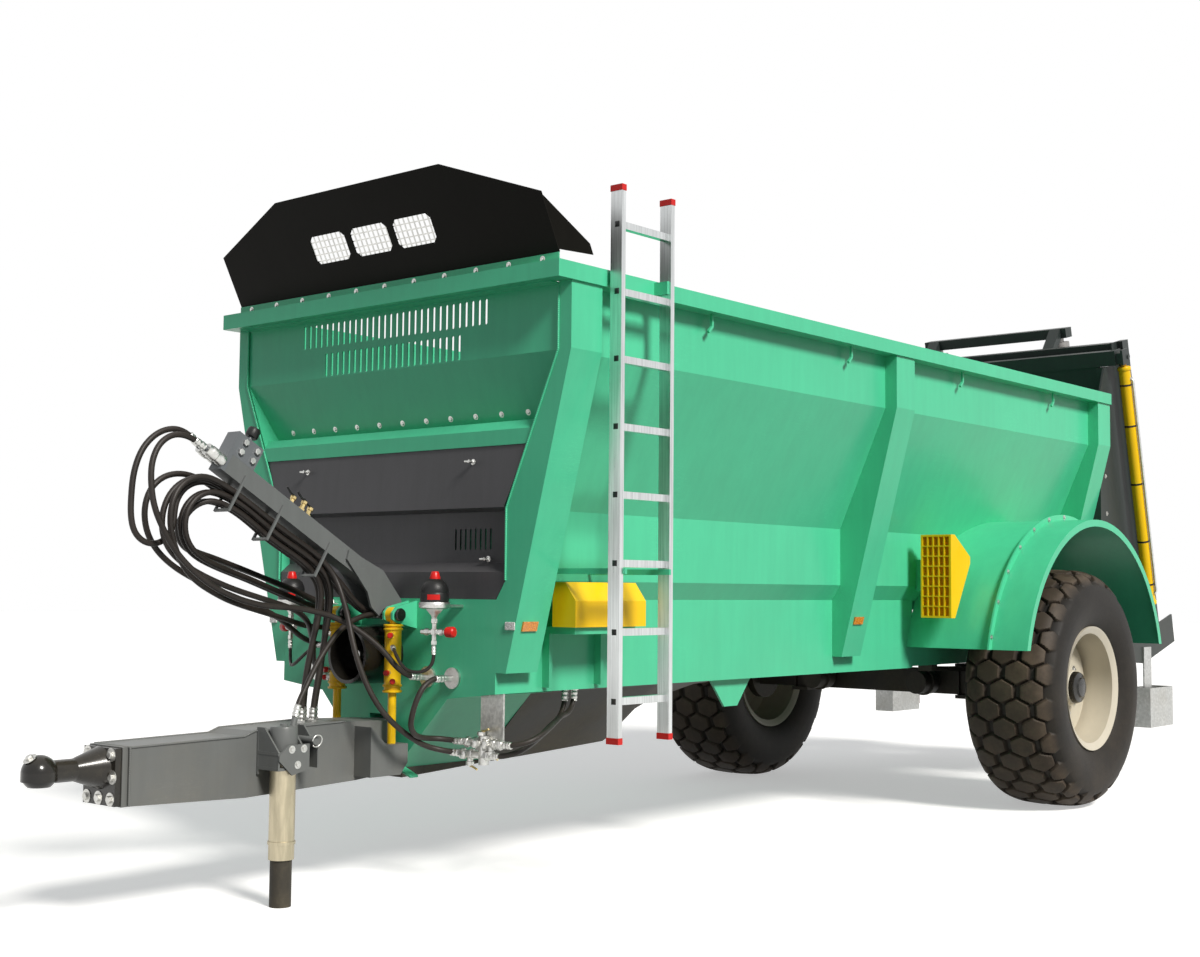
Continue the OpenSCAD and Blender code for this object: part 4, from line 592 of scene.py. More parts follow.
# Lines between the headstock, the arm's hoops, the drawbar and the brake couplings
lineRoutes = {
    "line_brake": [
        [-88, -262, 1085], [-20, -262, 1085], [60, -255, 1087], [140, -232, 1093], [215, -195, 1102],
        [300, -155, 1118], [400, -118, 1138], [510, -85, 1160], [630, -52, 1185], [740, -20, 1212],
        [840, 15, 1245], [930, 48, 1280], [1000, 70, 1325], [1046, 80, 1380], [1074, 84, 1440],
        [1096, 92, 1505], [1094, 96, 1575], [1066, 92, 1640], [1010, 89, 1684], [942, 88, 1700],
        [870, 87, 1680], [804, 87, 1647], [544, 87, 1497], [330, 87, 1373], [288, 96, 1330],
        [272, 118, 1276], [274, 152, 1215], [285, 198, 1140], [290, 232, 1050], [278, 262, 950],
        [250, 292, 850], [205, 322, 760], [140, 346, 690], [60, 350, 640], [-20, 352, 598], [-80, 376, 580],
        [-113, 418, 572], [-122, 466, 570]],
    "line_side": [
        [-88, -34, 1180], [-20, -34, 1180], [60, -30, 1192], [140, -20, 1235], [200, -12, 1283],
        [260, -8, 1327], [330, -6, 1373], [544, -6, 1497], [804, -6, 1647], [900, -8, 1695],
        [985, -10, 1710], [1065, -12, 1690], [1120, -14, 1635], [1138, -18, 1560], [1125, -22, 1485],
        [1085, -28, 1420], [1025, -34, 1368], [950, -42, 1325], [860, -54, 1288], [760, -68, 1255],
        [650, -86, 1222], [540, -108, 1190], [430, -136, 1155], [325, -175, 1115], [230, -225, 1075],
        [140, -270, 1040], [50, -300, 1015], [-40, -310, 1000], [-88, -310, 1000]],
    "line_bar_left": [
        [-88, -250, 1165], [0, -245, 1165], [100, -220, 1174], [200, -184, 1194], [310, -144, 1220],
        [420, -108, 1248], [520, -76, 1274], [620, -46, 1300], [720, -18, 1324], [810, 8, 1347],
        [890, 32, 1372], [947, 48, 1398], [995, 60, 1446], [1012, 67, 1511], [995, 71, 1576],
        [947, 73, 1624], [882, 74, 1641], [817, 74, 1624], [557, 74, 1474], [343, 74, 1350],
        [300, 72, 1312], [272, 66, 1262], [262, 56, 1195], [266, 44, 1110], [275, 30, 1010], [285, 16, 900],
        [295, 5, 800], [301, 0, 735], [302, 0, 702]],
    "line_bar_right": [
        [-88, -285, 1130], [-40, -282, 1132], [30, -272, 1143], [110, -250, 1168], [205, -214, 1196],
        [310, -174, 1220], [420, -138, 1248], [520, -106, 1274], [620, -76, 1300], [720, -48, 1324],
        [810, -22, 1347], [890, 2, 1372], [947, 18, 1398], [995, 30, 1446], [1012, 38, 1511],
        [995, 42, 1576], [947, 45, 1624], [882, 46, 1641], [817, 46, 1624], [557, 46, 1474],
        [343, 46, 1350], [298, 44, 1310], [266, 36, 1258], [250, 22, 1190], [240, 0, 1105],
        [228, -25, 1010], [222, -50, 900], [224, -70, 800], [226, -80, 735], [226, -82, 704]],
    "line_low_left": [
        [-88, -318, 1175], [-40, -314, 1180], [40, -300, 1196], [130, -272, 1222], [230, -238, 1250],
        [340, -204, 1277], [450, -170, 1305], [560, -138, 1332], [670, -108, 1358], [790, -76, 1386],
        [870, -52, 1402], [929, -32, 1423], [965, -16, 1459], [978, 2, 1508], [965, 22, 1557],
        [929, 42, 1593], [880, 56, 1606], [831, 60, 1595], [570, 60, 1452], [370, 60, 1334],
        [325, 57, 1290], [305, 48, 1225], [308, 36, 1140], [325, 22, 1040], [342, 10, 930], [354, 4, 830],
        [361, 0, 750], [363, 0, 702]],
    "line_low_right": [
        [-88, -352, 1196], [-40, -348, 1199], [40, -330, 1212], [130, -300, 1236], [230, -266, 1262],
        [340, -232, 1287], [450, -198, 1312], [560, -166, 1337], [670, -136, 1362], [790, -104, 1388],
        [870, -80, 1402], [929, -60, 1423], [965, -44, 1459], [978, -26, 1508], [965, -6, 1557],
        [929, 14, 1593], [880, 28, 1606], [831, 33, 1595], [570, 33, 1452], [370, 33, 1334],
        [322, 30, 1290], [294, 18, 1225], [285, 0, 1150], [280, -28, 1060], [275, -58, 960],
        [272, -80, 860], [272, -92, 780], [272, -95, 735], [272, -95, 702]],
    "line_back_upper": [
        [-122, 705, 620], [-123, 740, 620], [-138, 786, 626], [-174, 818, 640], [-224, 826, 660],
        [-310, 796, 682], [-400, 748, 699], [-490, 694, 711], [-545, 660, 716], [-590, 638, 718],
        [-627, 625, 726], [-660, 614, 748], [-680, 608, 780], [-686, 605, 824]],
    "line_back_lower": [
        [-122, 634, 570], [-123, 664, 570], [-138, 710, 575], [-172, 744, 588], [-222, 756, 610],
        [-300, 738, 634], [-390, 697, 656], [-480, 650, 674], [-545, 618, 686], [-594, 598, 701],
        [-630, 585, 728], [-652, 578, 768], [-660, 575, 824]],
}
for name, route in lineRoutes.items():
    makeHose(name, route, hoseSet, glands=True)

# Thin lines from the accumulators to the drawbar cylinders
thinSet = dict(hoseSet, diameter=0.015, ferruleRadius=0.0105, ferruleLength=0.04, count=73)
thinRoute = [[50, 470, 1028], [50, 470, 985], [54, 464, 950], [66, 446, 926], [86, 416, 915], [103, 375, 920],
             [105, 332, 945], [95, 292, 978], [78, 256, 1003], [53, 220, 1014]]
for side, word in bothSides:
    makeHose("thin_" + word, [[x, side * y, z] for x, y, z in thinRoute], thinSet)

# Tyres

axle = (-4461, 706)
tyreSet = {
    "y": 1147, "radius": 706, "around": 720, "pitches": 20, "rows": 3, "rowPitch": 90,
    "blockLong": 67, "blockWide": 66, "depth": 27, "flank": 0.16, "treadEnd": 312, "fade": 60, "skin": 3.0,
    "sectionSteps": 400, "treadSteps": 92, "wallSteps": 14, "sharp": 32,
    "ribs": [(430, 5, 2.4), (470, 4, 2.0), (505, 7, 3.2)],      # place along the section, width and height
    "section": [(-210, 340), (-240, 366), (-258, 392), (-280, 450), (-291, 520), (-286, 580), (-262, 634),
                (-222, 674), (-160, 697), (-80, 704), (0, 706), (80, 704), (160, 697), (222, 674), (262, 634),
                (286, 580), (291, 520), (280, 450), (258, 392), (240, 366), (210, 340)],
}


def makeTyre(s, side, word):
    # The section is a smooth line from bead to bead. Going round it by angle, the tread is let down by depth
    # wherever no six-sided block covers the spot, and the block rows are staggered by half a pitch
    section = smoothRoute(s["section"], s["sectionSteps"])
    run = runAlong(section)
    v = run - run[-1] / 2
    tread = s["treadEnd"]
    want = np.concatenate([np.linspace(v[0], -tread, s["wallSteps"])[:-1],
                           np.linspace(-tread, tread, s["treadSteps"]),
                           np.linspace(tread, v[-1], s["wallSteps"])[1:]])
    y, r = np.interp(want, v, section[:, 0]), np.interp(want, v, section[:, 1])
    tangent = unit(np.stack([np.gradient(y), np.gradient(r)], -1))
    theta = np.linspace(0, 2 * np.pi, s["around"], endpoint=False)
    arc = theta * s["radius"]
    pitch = 2 * np.pi * s["radius"] / s["pitches"]
    blocks = []
    for k in range(-s["rows"], s["rows"] + 1):
        du = np.abs((arc - (k % 2) * pitch / 2 + pitch / 2) % pitch - pitch / 2)[:, None]
        dv = np.abs(want - k * s["rowPitch"])[None]
        blocks.append(np.maximum(dv / s["blockWide"], du / s["blockLong"] + dv / (2 * s["blockWide"])))
    rise = np.clip((1 + s["flank"] - np.min(blocks, axis=0)) / s["flank"], 0, 1)
    fade = np.clip((tread - np.abs(want)) / s["fade"], 0, 1)[None]
    ribs = sum(high * np.exp(-((np.abs(want) - at) / wide) ** 2) for at, wide, high in s["ribs"])
    offset = ribs[None] - s["depth"] * (1 - rise) * fade - s["skin"]
    yy = y[None] - tangent[None, :, 1] * offset
    rr = r[None] + tangent[None, :, 0] * offset
    points = np.stack([rr * np.sin(theta)[:, None], yy * side, rr * np.cos(theta)[:, None]], -1)
    points = place((points + [axle[0], side * s["y"], axle[1]]).reshape(-1, 3))
    faces = gridFaces(len(theta), len(want), wrapRows=True)
    piece = putMesh("tyre_" + word + "_tread", points, faces, tyreRubber, "tyre_rubber", "wheel_" + word)
    fixNormals(piece)
    piece.data.set_sharp_from_angle(angle=math.radians(s["sharp"]))
    worn = (rise * fade).ravel().astype(np.float32)
    piece.data.attributes.new("worn", "FLOAT", "POINT").data.foreach_set("value", worn)
    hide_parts("tyre_" + word)


for side, word in bothSides:
    makeTyre(tyreSet, side, word)
print("tyres made")

# Where bolts, nuts and small pieces sit on the solids

solidTrees = {}


def treeOf(name):
    if name not in solidTrees:
        mesh = nodes[name].data
        co = np.empty(len(mesh.vertices) * 3)
        mesh.vertices.foreach_get("co", co)
        corners = [tuple(p.vertices) for p in mesh.polygons]
        solidTrees[name] = BVHTree.FromPolygons(co.reshape(-1, 3).tolist(), corners)
    return solidTrees[name]


def landOn(name, starts, direction):
    # Rays from the starts meet the named solid: the places and the surface's normals, misses left out
    d = Vector(unit(np.asarray(direction, float)))
    hits = [treeOf(name).ray_cast(Vector(start), d) for start in place(starts)]
    hits = [h for h in hits if h[0] is not None]
    normals = [h[1] if h[1].dot(d) < 0 else -h[1] for h in hits]
    return np.array([h[0] for h in hits]).reshape(-1, 3), np.array(normals).reshape(-1, 3)


def onCircle(centre, radius, degrees, y):
    # Places round an axle that lies along y
    t = np.radians(np.asarray(degrees, float))
    x, z = centre[0] + radius * np.cos(t), centre[1] + radius * np.sin(t)
    return np.stack([x, np.full(len(t), float(y)), z], -1)


def rowOf(a, b, count):
    return np.linspace(np.asarray(a, float), np.asarray(b, float), count)


fenderRow = onCircle(axle, 1018, np.arange(18, 164, 12.0), 1600)
rearRow = rowOf((-5620, 1600, 1300), (-5560, 1600, 2300), 5)
flangeRows = [(1700, y, z) for z in (638, 474) for y in (-78, 0, 78)] + [(1700, 88, 556), (1700, -88, 556)]
bracketSpots = [(560, 600, 622), (620, 600, 622), (590, 600, 560)]
mirrored = [1, -1, 1]
boltRows = [            # name, solid, direction of the rays, size and where the rays start
    ("fender_bolts_left", "fenders", (0, -1, 0), 0.013, fenderRow),
    ("fender_bolts_right", "fenders", (0, 1, 0), 0.013, fenderRow * mirrored),
    ("front_wall_bolts", "front_wall", backward, 0.012, rowOf((600, -775, 2006), (600, 775, 2006), 11)),
    ("coupling_bolts", "coupling", backward, 0.023, flangeRows),
    ("guard_foot_bolts", "top_rail", backward, 0.012, rowOf((600, -960, 2612), (600, 960, 2612), 11)),
    ("leg_bracket_bolts", "leg_bracket", (0, -1, 0), 0.014, bracketSpots),
    ("rear_frame_bolts_left", "rear_frame_left", (0, -1, 0), 0.013, rearRow),
    ("rear_frame_bolts_right", "rear_frame_right", (0, 1, 0), 0.013, rearRow * mirrored),
]
for name, solid, direction, size, starts in boltRows:
    spots, normals = landOn(solid, starts, direction)
    putMesh(name, *hexHeads(spots, normals, size), zinc, "zinc", sharp=30)
    print(name, len(spots))

# Wheel nuts and a dark cap over each hub's end

hubSet = {"nuts": 10, "circle": 168, "nutSize": 0.021, "y": 1147, "from": 1700,
          "cap": [(0.118, 0.058), (0.119, 0.072), (0.112, 0.080), (0.098, 0.086), (0.094, 0.150),
                  (0.088, 0.164), (0.060, 0.172), (0.054, 0.182), (0.030, 0.186), (0.0005, 0.187)]}


def makeHubDress(s, side, word):
    # Nuts at even angles round the axle, and the cap's profile turned about it
    body = "wheel_" + word
    turns = np.arange(s["nuts"]) * 360.0 / s["nuts"]
    starts = onCircle(axle, s["circle"], turns, side * s["from"])
    spots, normals = landOn("rim_" + word, starts, (0, -side, 0))
    putMesh(body + "_nuts", *hexHeads(spots, normals, s["nutSize"]), zinc, "zinc", body, 30)
    cap = latheShape(s["cap"], spotAt(axle[0], side * s["y"], axle[1]), (0, side, 0), 40)
    putShapes(body + "_hub_cap", [cap], blackGloss, "black_paint", body, 35)


for side, word in bothSides:
    makeHubDress(hubSet, side, word)
print("wheels dressed")

# Accumulators: a black shell with a red cap, a zinc clamp, and a cross fitting with a dust cap on one arm

accumulatorSet = {
    "at": (50, 470), "crossZ": 1083, "armLean": 0.35,
    "shell": [(0.0005, 1.206), (0.058, 1.206), (0.061, 1.214), (0.061, 1.238), (0.058, 1.246),
              (0.0595, 1.252), (0.056, 1.270), (0.047, 1.288), (0.034, 1.300), (0.024, 1.304),
              (0.0005, 1.304)],
    "cap": [(0.0005, 1.302), (0.023, 1.302), (0.0225, 1.310), (0.017, 1.330), (0.014, 1.335),
            (0.0005, 1.336)],
    "band": [(0.0005, 1.178), (0.048, 1.178), (0.064, 1.183), (0.066, 1.188), (0.066, 1.202), (0.063, 1.207),
             (0.0005, 1.207)],
    "stem": [(0.0005, 1.030), (0.013, 1.030), (0.013, 1.046), (0.010, 1.048), (0.010, 1.070), (0.015, 1.072),
             (0.015, 1.094), (0.010, 1.096), (0.010, 1.118), (0.0145, 1.120), (0.0145, 1.138), (0.011, 1.140),
             (0.016, 1.152), (0.038, 1.174), (0.040, 1.179), (0.0005, 1.179)],
    "arm": [(0.0005, 0.0), (0.010, 0.0), (0.010, 0.022), (0.0145, 0.024), (0.0145, 0.042), (0.010, 0.044),
            (0.010, 0.060), (0.0005, 0.060)],
    "patch": {"z": (1.217, 1.239), "r": (0.0595, 0.0622), "middle": 42, "half": 25, "steps": 11},
    "dust": [(0.0005, 0.052), (0.015, 0.052), (0.021, 0.058), (0.023, 0.074), (0.023, 0.090), (0.019, 0.096),
             (0.0005, 0.097)],
    "holder": ((-0.142, -0.032, 1.184), (-0.055, 0.032, 1.196)), "holderBevel": 0.003,
}


def patchShape(s, foot):
    # A thin closed plate bent round the shell: a four-cornered section carried round by angle
    turn = np.radians(np.linspace(s["middle"] - s["half"], s["middle"] + s["half"], s["steps"]))[:, None]
    r = np.array([s["r"][0], s["r"][1], s["r"][1], s["r"][0]])
    z = np.repeat(s["z"], 2)
    points = np.stack([r * np.cos(turn), r * np.sin(turn), np.broadcast_to(z, (s["steps"], 4))], -1)
    last = 4 * s["steps"] - 1
    faces = gridFaces(s["steps"], 4, wrapCols=True).tolist()
    return points.reshape(-1, 3) + foot, faces + [[0, 1, 2, 3], [last, last - 1, last - 2, last - 3]]


def makeAccumulators(s):
    # Each part is its profile turned about the shell's axis, or about the cross fitting's arm
    shells, caps, metal = [], [], []
    for side in (1, -1):
        foot = spotAt(s["at"][0], side * s["at"][1], 0)
        cross = foot + [0, 0, s["crossZ"] / 1000]
        outArm, inArm = (-s["armLean"], side, 0), (s["armLean"], -side, 0)
        shells.append(latheShape(s["shell"], foot, upward, 40))
        caps += [latheShape(s["cap"], foot, upward, 28), patchShape(s["patch"], foot)]
        caps.append(latheShape(s["dust"], cross, outArm, 24))
        metal += [latheShape(s["band"], foot, upward, 40), latheShape(s["stem"], foot, upward, 6)]
        metal += [latheShape(s["arm"], cross, way, 6) for way in (outArm, inArm)]
        metal.append(boxShape(foot + s["holder"][0], foot + s["holder"][1], s["holderBevel"]))
    piece = putShapes("accumulator_shell", shells, blackPlastic, "black_paint")
    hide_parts("accumulators")
    putShapes("accumulator_cap", caps, redPlastic, "red_plastic")
    putShapes("accumulator_metal", metal, zinc, "zinc")


makeAccumulators(accumulatorSet)
print("accumulators made")

# Drawbar cylinders: collar rings, pin ends, ports with caps

cylinderSet = {"at": (15, 180), "eyeZ": 1150, "eyeHalf": 0.0365, "barrel": 0.036,
               "rings": (822, 846, 1088, 1104),
               "ports": ((1062, 35.0), (902, 20.0), (866, 48.0)), "portDeep": 0.006,
               "ring": [(0.032, -0.005), (0.040, -0.005), (0.042, -0.0025), (0.042, 0.0025), (0.040, 0.005),
                        (0.032, 0.005)],
               "pin": [(0.0005, 0.0), (0.026, 0.0), (0.028, 0.003), (0.028, 0.011), (0.024, 0.015),
                       (0.0005, 0.016)],
               "boss": [(0.0005, 0.0), (0.013, 0.0), (0.013, 0.020), (0.0005, 0.020)],
               "cap": [(0.0005, 0.018), (0.012, 0.018), (0.013, 0.030), (0.010, 0.036), (0.0005, 0.037)]}


def makeCylinderDress(s):
    # Rings round the barrel, a pin through the eye, and port bosses that stand out of the barrel by angle
    yellow, black, red, metal = [], [], [], []
    for side in (1, -1):
        foot = spotAt(s["at"][0], side * s["at"][1], 0)
        yellow += [latheShape(s["ring"], foot + [0, 0, z / 1000], upward, 40) for z in s["rings"]]
        for way in (1, -1):
            eye = foot + [0, way * s["eyeHalf"], s["eyeZ"] / 1000]
            black.append(latheShape(s["pin"], eye, (0, way, 0), 28))
        for z, turn in s["ports"]:
            way = np.array([math.cos(math.radians(turn)), side * math.sin(math.radians(turn)), 0])
            start = foot + [0, 0, z / 1000] + way * (s["barrel"] - s["portDeep"])
            metal.append(latheShape(s["boss"], start, way, 6))
            red.append(latheShape(s["cap"], start, way, 20))
    putShapes("draw_cylinder_rings", yellow, yellowPaint, "yellow_paint")
    putShapes("draw_cylinder_pins", black, blackGloss, "black_paint")
    putShapes("draw_cylinder_port_caps", red, redPlastic, "red_plastic")
    putShapes("draw_cylinder_ports", metal, zinc, "zinc")


makeCylinderDress(cylinderSet)

# The arm's upper end: sleeves on the couplers, a grip on the knob, plugs and small valves along the arm

armSet = {"foot": (40, 20, 1250), "lean": 30.0, "length": 940, "side": 80, "valveLong": 117, "valveHigh": 100,
          "couplers": ((13, 48), (67, 35)), "couplerOut": 20, "valves": ((560, 26), (520, 54), (470, 40)),
          "plugs": ((850, 110), (850, 155), (915, 110), (915, 155)),
          "sleeve": [(0.018, 0.0), (0.0245, 0.0), (0.026, 0.004), (0.026, 0.022), (0.0245, 0.026),
                     (0.0245, 0.040), (0.0275, 0.044), (0.0275, 0.070), (0.025, 0.074), (0.025, 0.090),
                     (0.014, 0.092)],
          "grip": [(0.0005, 0.026), (0.024, 0.026), (0.027, 0.031), (0.027, 0.058), (0.024, 0.066),
                   (0.012, 0.069), (0.0005, 0.069)],
          "plug": [(0.0005, -0.002), (0.014, -0.002), (0.014, 0.010), (0.011, 0.013), (0.0005, 0.013)],
          "valve": [(0.0005, -0.002), (0.016, -0.002), (0.016, 0.014), (0.010, 0.017), (0.010, 0.034),
                    (0.014, 0.036), (0.014, 0.048), (0.0005, 0.050)],
          "lever": ((0.0, 0.0), (0.022, 0.0), (0.052, 0.012)), "leverUp": 52, "leverRadius": 0.0045}


def armPoint(s, lx, ly, lz):
    # From the arm's own directions to the row frame
    c, d = math.cos(math.radians(s["lean"])), math.sin(math.radians(s["lean"]))
    x, y, z = s["foot"]
    return spotAt(x + c * lx - d * lz, y + ly, z + d * lx + c * lz)


def makeArmDress(s):
    # Each fitting is a profile turned about the arm's long direction, its upright or its sideways direction
    along = unit(armPoint(s, 1000, 0, 0) - armPoint(s, 0, 0, 0))
    upright = unit(armPoint(s, 0, 0, 1000) - armPoint(s, 0, 0, 0))
    metal = [latheShape(s["sleeve"], armPoint(s, s["length"] + s["couplerOut"], y, z), along, 28)
             for y, z in s["couplers"]]
    metal += [latheShape(s["plug"], armPoint(s, lx, s["side"], lz), (0, 1, 0), 6) for lx, lz in s["plugs"]]
    knob = armPoint(s, s["length"] - s["valveLong"] / 2, s["side"] / 2, s["side"] + s["valveHigh"])
    dark, yellow = [latheShape(s["grip"], knob, upright, 22)], []
    for lx, ly in s["valves"]:
        yellow.append(latheShape(s["valve"], armPoint(s, lx, ly, s["side"]), upright, 6))
        foot = armPoint(s, lx, ly, s["side"] + s["leverUp"])
        lever = [foot + along * out + upright * up for out, up in s["lever"]]
        dark.append(tubeShape(lever, s["leverRadius"], 10))
    putShapes("arm_fittings", metal, zinc, "zinc")
    putShapes("arm_grips", dark, blackPlastic, "black_paint")
    putShapes("arm_valves", yellow, brass, "zinc")


makeArmDress(armSet)
print("arm dressed")

# Small things: wing bolts on the hood, white reflectors, rung ends, a spring clip on the leg's pin

smallSet = {"wing": ((600, 545, 1800), (600, 590, 1390)), "white": (600, 774, 1112), "whiteSize": (56, 34, 7),
            "stud": [(0.0005, 0), (0.013, 0), (0.013, 0.004), (0.007, 0.006), (0.007, 0.030),
                     (0.0005, 0.031)],
            "ears": ((-0.026, 0.030), (-0.008, 0.018), (0.008, 0.018), (0.026, 0.030)),
            "earRadius": (0.004, 0.0055, 0.0055, 0.004),
            "rungTop": 2773, "rungStep": 280, "rungs": 8, "rungEnd": 24, "rungThick": 0.0016, "ladderY": 1160,
            "rungFrom": ((300, -1), (-1400, 1)), "rungBevel": 0.0003, "whiteGap": 0.0002,
            "whiteBevel": 0.0025, "clipAt": (506, 282, 650), "clipRadius": 24, "clipWire": 0.0028,
            "clipTurns": 0.875, "clipFlat": 0.25}


def wingBolt(s, spot, normal):
    # A stud with two flat ears across it, which bend outward to their ends
    side = unit(np.cross(normal, upward))
    ears = [spot + side * across + normal * out for across, out in s["ears"]]
    return [latheShape(s["stud"], spot, normal, 12), tubeShape(ears, np.array(s["earRadius"]), 10)]


def makeSmallThings(s):
    # Blocks and studs on the spots where rays meet the solids; the clip is a flattened ring that stays open
    starts = [(x, side * y, z) for x, y, z in s["wing"] for side in (1, -1)]
    bolts = []
    for spot, normal in zip(*landOn("hood", starts, backward)):
        bolts += wingBolt(s, spot, unit(normal))
    putShapes("hood_wing_bolts", bolts, zinc, "zinc")
    wide, high, thick = np.array(s["whiteSize"]) / 1000
    spots, _ = landOn("posts", [s["white"], np.multiply(s["white"], mirrored)], backward)
    near, far = [s["whiteGap"], -wide / 2, -high / 2], [thick, wide / 2, high / 2]
    plates = [boxShape(p + near, p + far, s["whiteBevel"]) for p in spots]
    putShapes("white_reflectors", plates, whitePrism, "amber_plastic", sharp=30)
    ends = []
    size = np.array([s["rungThick"] / 2, s["rungEnd"] / 2000, s["rungEnd"] / 2000])
    for start, way in s["rungFrom"]:
        rows = [(start, s["ladderY"], s["rungTop"] - i * s["rungStep"]) for i in range(s["rungs"])]
        spots, _ = landOn("ladder", rows, (way, 0, 0))
        ends += [boxShape(p - size, p + size, s["rungBevel"]) for p in spots]
    putShapes("rung_ends", ends, blackPlastic, "black_paint", sharp=None)
    turn = np.linspace(0, 2 * np.pi * s["clipTurns"], 40)
    ring = np.stack([np.cos(turn), s["clipFlat"] * np.sin(turn), np.sin(turn)], -1)
    clip = tubeShape(spotAt(*s["clipAt"]) + s["clipRadius"] / 1000 * ring, s["clipWire"], 10)
    putShapes("leg_pin_clip", [clip], zinc, "zinc", sharp=None)


makeSmallThings(smallSet)
print("small things made")

# Gate cylinders: dark bands, end collars and a pipe with elbows, all of which ride on the gate

liftSet = {"gate": (-6030, 1200), "lean": 14.0, "u": -77, "y": 1104, "radius": 38,
           "bands": (120, 420, 820, 1220, 1500), "collars": (-8, 1612),
           "band": [(0.035, -0.006), (0.0392, -0.006), (0.0392, 0.006), (0.035, 0.006)],
           "collar": [(0.034, -0.012), (0.042, -0.012), (0.044, -0.008), (0.044, 0.008), (0.042, 0.012),
                      (0.034, 0.012)],
           "nut": [(0.0005, 0.0), (0.014, 0.0), (0.014, 0.014), (0.0005, 0.014)], "nutDeep": 4,
           "pipeFrom": 60, "pipeTo": 1540, "pipeOut": 52, "pipeIn": 22.8, "pipeRadius": 0.008,
           "bend": (10, 12, 40)}


def liftPoint(s, u, y, w):
    # From the leaning rear unit's directions to the row frame
    c, d = math.cos(math.radians(s["lean"])), math.sin(math.radians(s["lean"]))
    return spotAt(s["gate"][0] + u * c + w * d, y, s["gate"][1] - u * d + w * c)


def makeLiftDress(s):
    # Bands are short rings round the barrel; the pipe leaves the barrel sideways, bends and runs along it
    dark, yellow, metal = [], [], []
    along = unit(liftPoint(s, 0, 0, 1000) - liftPoint(s, 0, 0, 0))
    low, high, out = s["pipeFrom"], s["pipeTo"], s["pipeOut"]
    across, down, straight = s["bend"]
    rows = [(s["pipeIn"], high), (out - across, high), (out, high - down)]
    rows += [(out, w) for w in np.linspace(high - straight, low + straight, 8)]
    rows += [(out, low + down), (out - across, low), (s["pipeIn"], low)]
    for side in (1, -1):
        for made, profile, places in ((dark, "band", s["bands"]), (yellow, "collar", s["collars"])):
            spots = [liftPoint(s, s["u"], side * s["y"], w) for w in places]
            made += [latheShape(s[profile], spot, along, 40) for spot in spots]
        pipe = [liftPoint(s, s["u"], side * (s["y"] + y), w) for y, w in rows]
        metal.append(tubeShape(pipe, s["pipeRadius"], 14))
        for w in (low, high):
            foot = liftPoint(s, s["u"], side * (s["y"] + s["radius"] - s["nutDeep"]), w)
            metal.append(latheShape(s["nut"], foot, (0, side, 0), 6))
    putShapes("lift_bands", dark, blackPlastic, "black_paint", "gate")
    putShapes("lift_collars", yellow, yellowPaint, "yellow_paint", "gate")
    putShapes("lift_pipes", metal, zinc, "zinc", "gate")


makeLiftDress(liftSet)

# Drawbar: weld beads along its top edges and round the end plate, and a painted head over the leg's tube

barSet = {"top": [(1258, 664), (1000, 668), (740, 672), (690, 690), (450, 696), (226, 701)], "half": 120,
          "plateX": 1259, "plateZ": (447, 664), "bead": 0.0045, "step": 0.007, "swell": 0.14,
          "legAt": (606, 195.5),
          "head": [(0.0005, 0.7065), (0.0522, 0.7065), (0.0522, 0.613), (0.0545, 0.613), (0.0555, 0.617),
                   (0.0555, 0.700), (0.051, 0.709), (0.016, 0.712), (0.015, 0.719), (0.0005, 0.720)]}


def weldBead(corners, s):
    # A thin tube through the corners whose radius swells and sinks at each step of the torch
    c = place(corners)
    run = runAlong(c)
    t = np.arange(0, run[-1], s["step"] / 4)
    path = np.stack([np.interp(t, run, c[:, k]) for k in range(3)], -1)
    return tubeShape(path, s["bead"] * (1 + s["swell"] * np.sin(2 * np.pi * t / s["step"])), 8)


def makeBarDress(s):
    # Beads along both top edges and three edges of the end plate; the head's profile is turned about the leg
    beads = []
    x, half = s["plateX"], s["half"]
    low, high = s["plateZ"]
    for y in (half, -half):
        beads.append(weldBead([(along, y, z) for along, z in s["top"]], s))
        beads.append(weldBead([(x, y, low), (x, y, high)], s))
    beads.append(weldBead([(x, -half, high), (x, half, high)], s))
    putShapes("drawbar_welds", beads, greyPaint, "grey_paint", sharp=None)
    head = latheShape(s["head"], spotAt(*s["legAt"], 0), upward, 36)
    putShapes("leg_head", [head], greyPaint, "grey_paint")


makeBarDress(barSet)

# Weld beads along the inner edges of the front posts, beside the hood and the front wall

postSet = {"edge": [(-91, 742, 1300), (-91, 742, 1602), (-91, 1022, 2240), (-91, 1022, 2505)], "bead": 0.0050,
           "step": 0.008, "swell": 0.14}
postBeads = [weldBead([(x, side * y, z) for x, y, z in postSet["edge"]], postSet) for side in (1, -1)]
putShapes("post_welds", postBeads, greenPaint, "green_paint", sharp=None)

# Keel under the tub that carries the drawbar's pivot: a tray below the nose and a trough behind it, in dark
# paint that stands for the deep shade under the tub

keelSet = {"half": 96, "shoulder": 410, "shoulderZ": 796, "wing": 540, "topZ": 831.5, "noseZ": 479.5,
           "edge": 4, "tray": [(-130, 436), (-300, 444), (-612, 462)],
           "trough": [(-612, 462), (-900, 474), (-1200, 489), (-1490, 504), (-1530, 520), (-1640, 617),
                      (-1860, 690), (-1930, 740)]}


def makeKeel(s):
    # Half a section at each place along the keel, from the side's top to the bottom, and its mirror image
    def sections(places, top):
        bottom = [[(s["half"], low + s["edge"]), (s["half"] - s["edge"], low)] for _, low in places]
        halves = [[(x, y, z) for y, z in top + foot] for (x, _), foot in zip(places, bottom)]
        return [half + [(x, -y, z) for x, y, z in half[::-1]] for half in halves]
    tray = sections(s["tray"], [(s["half"], s["noseZ"])])
    trough = sections(s["trough"], [(s["wing"], s["topZ"]), (s["shoulder"], s["shoulderZ"])])
    # The dark axle paint on the keel is painted shade, standing for the deep shade under the tub
    putShapes("keel", [sectionShape(tray), sectionShape(trough)], darkSteel, "dark_steel", sharp=25)


makeKeel(keelSet)

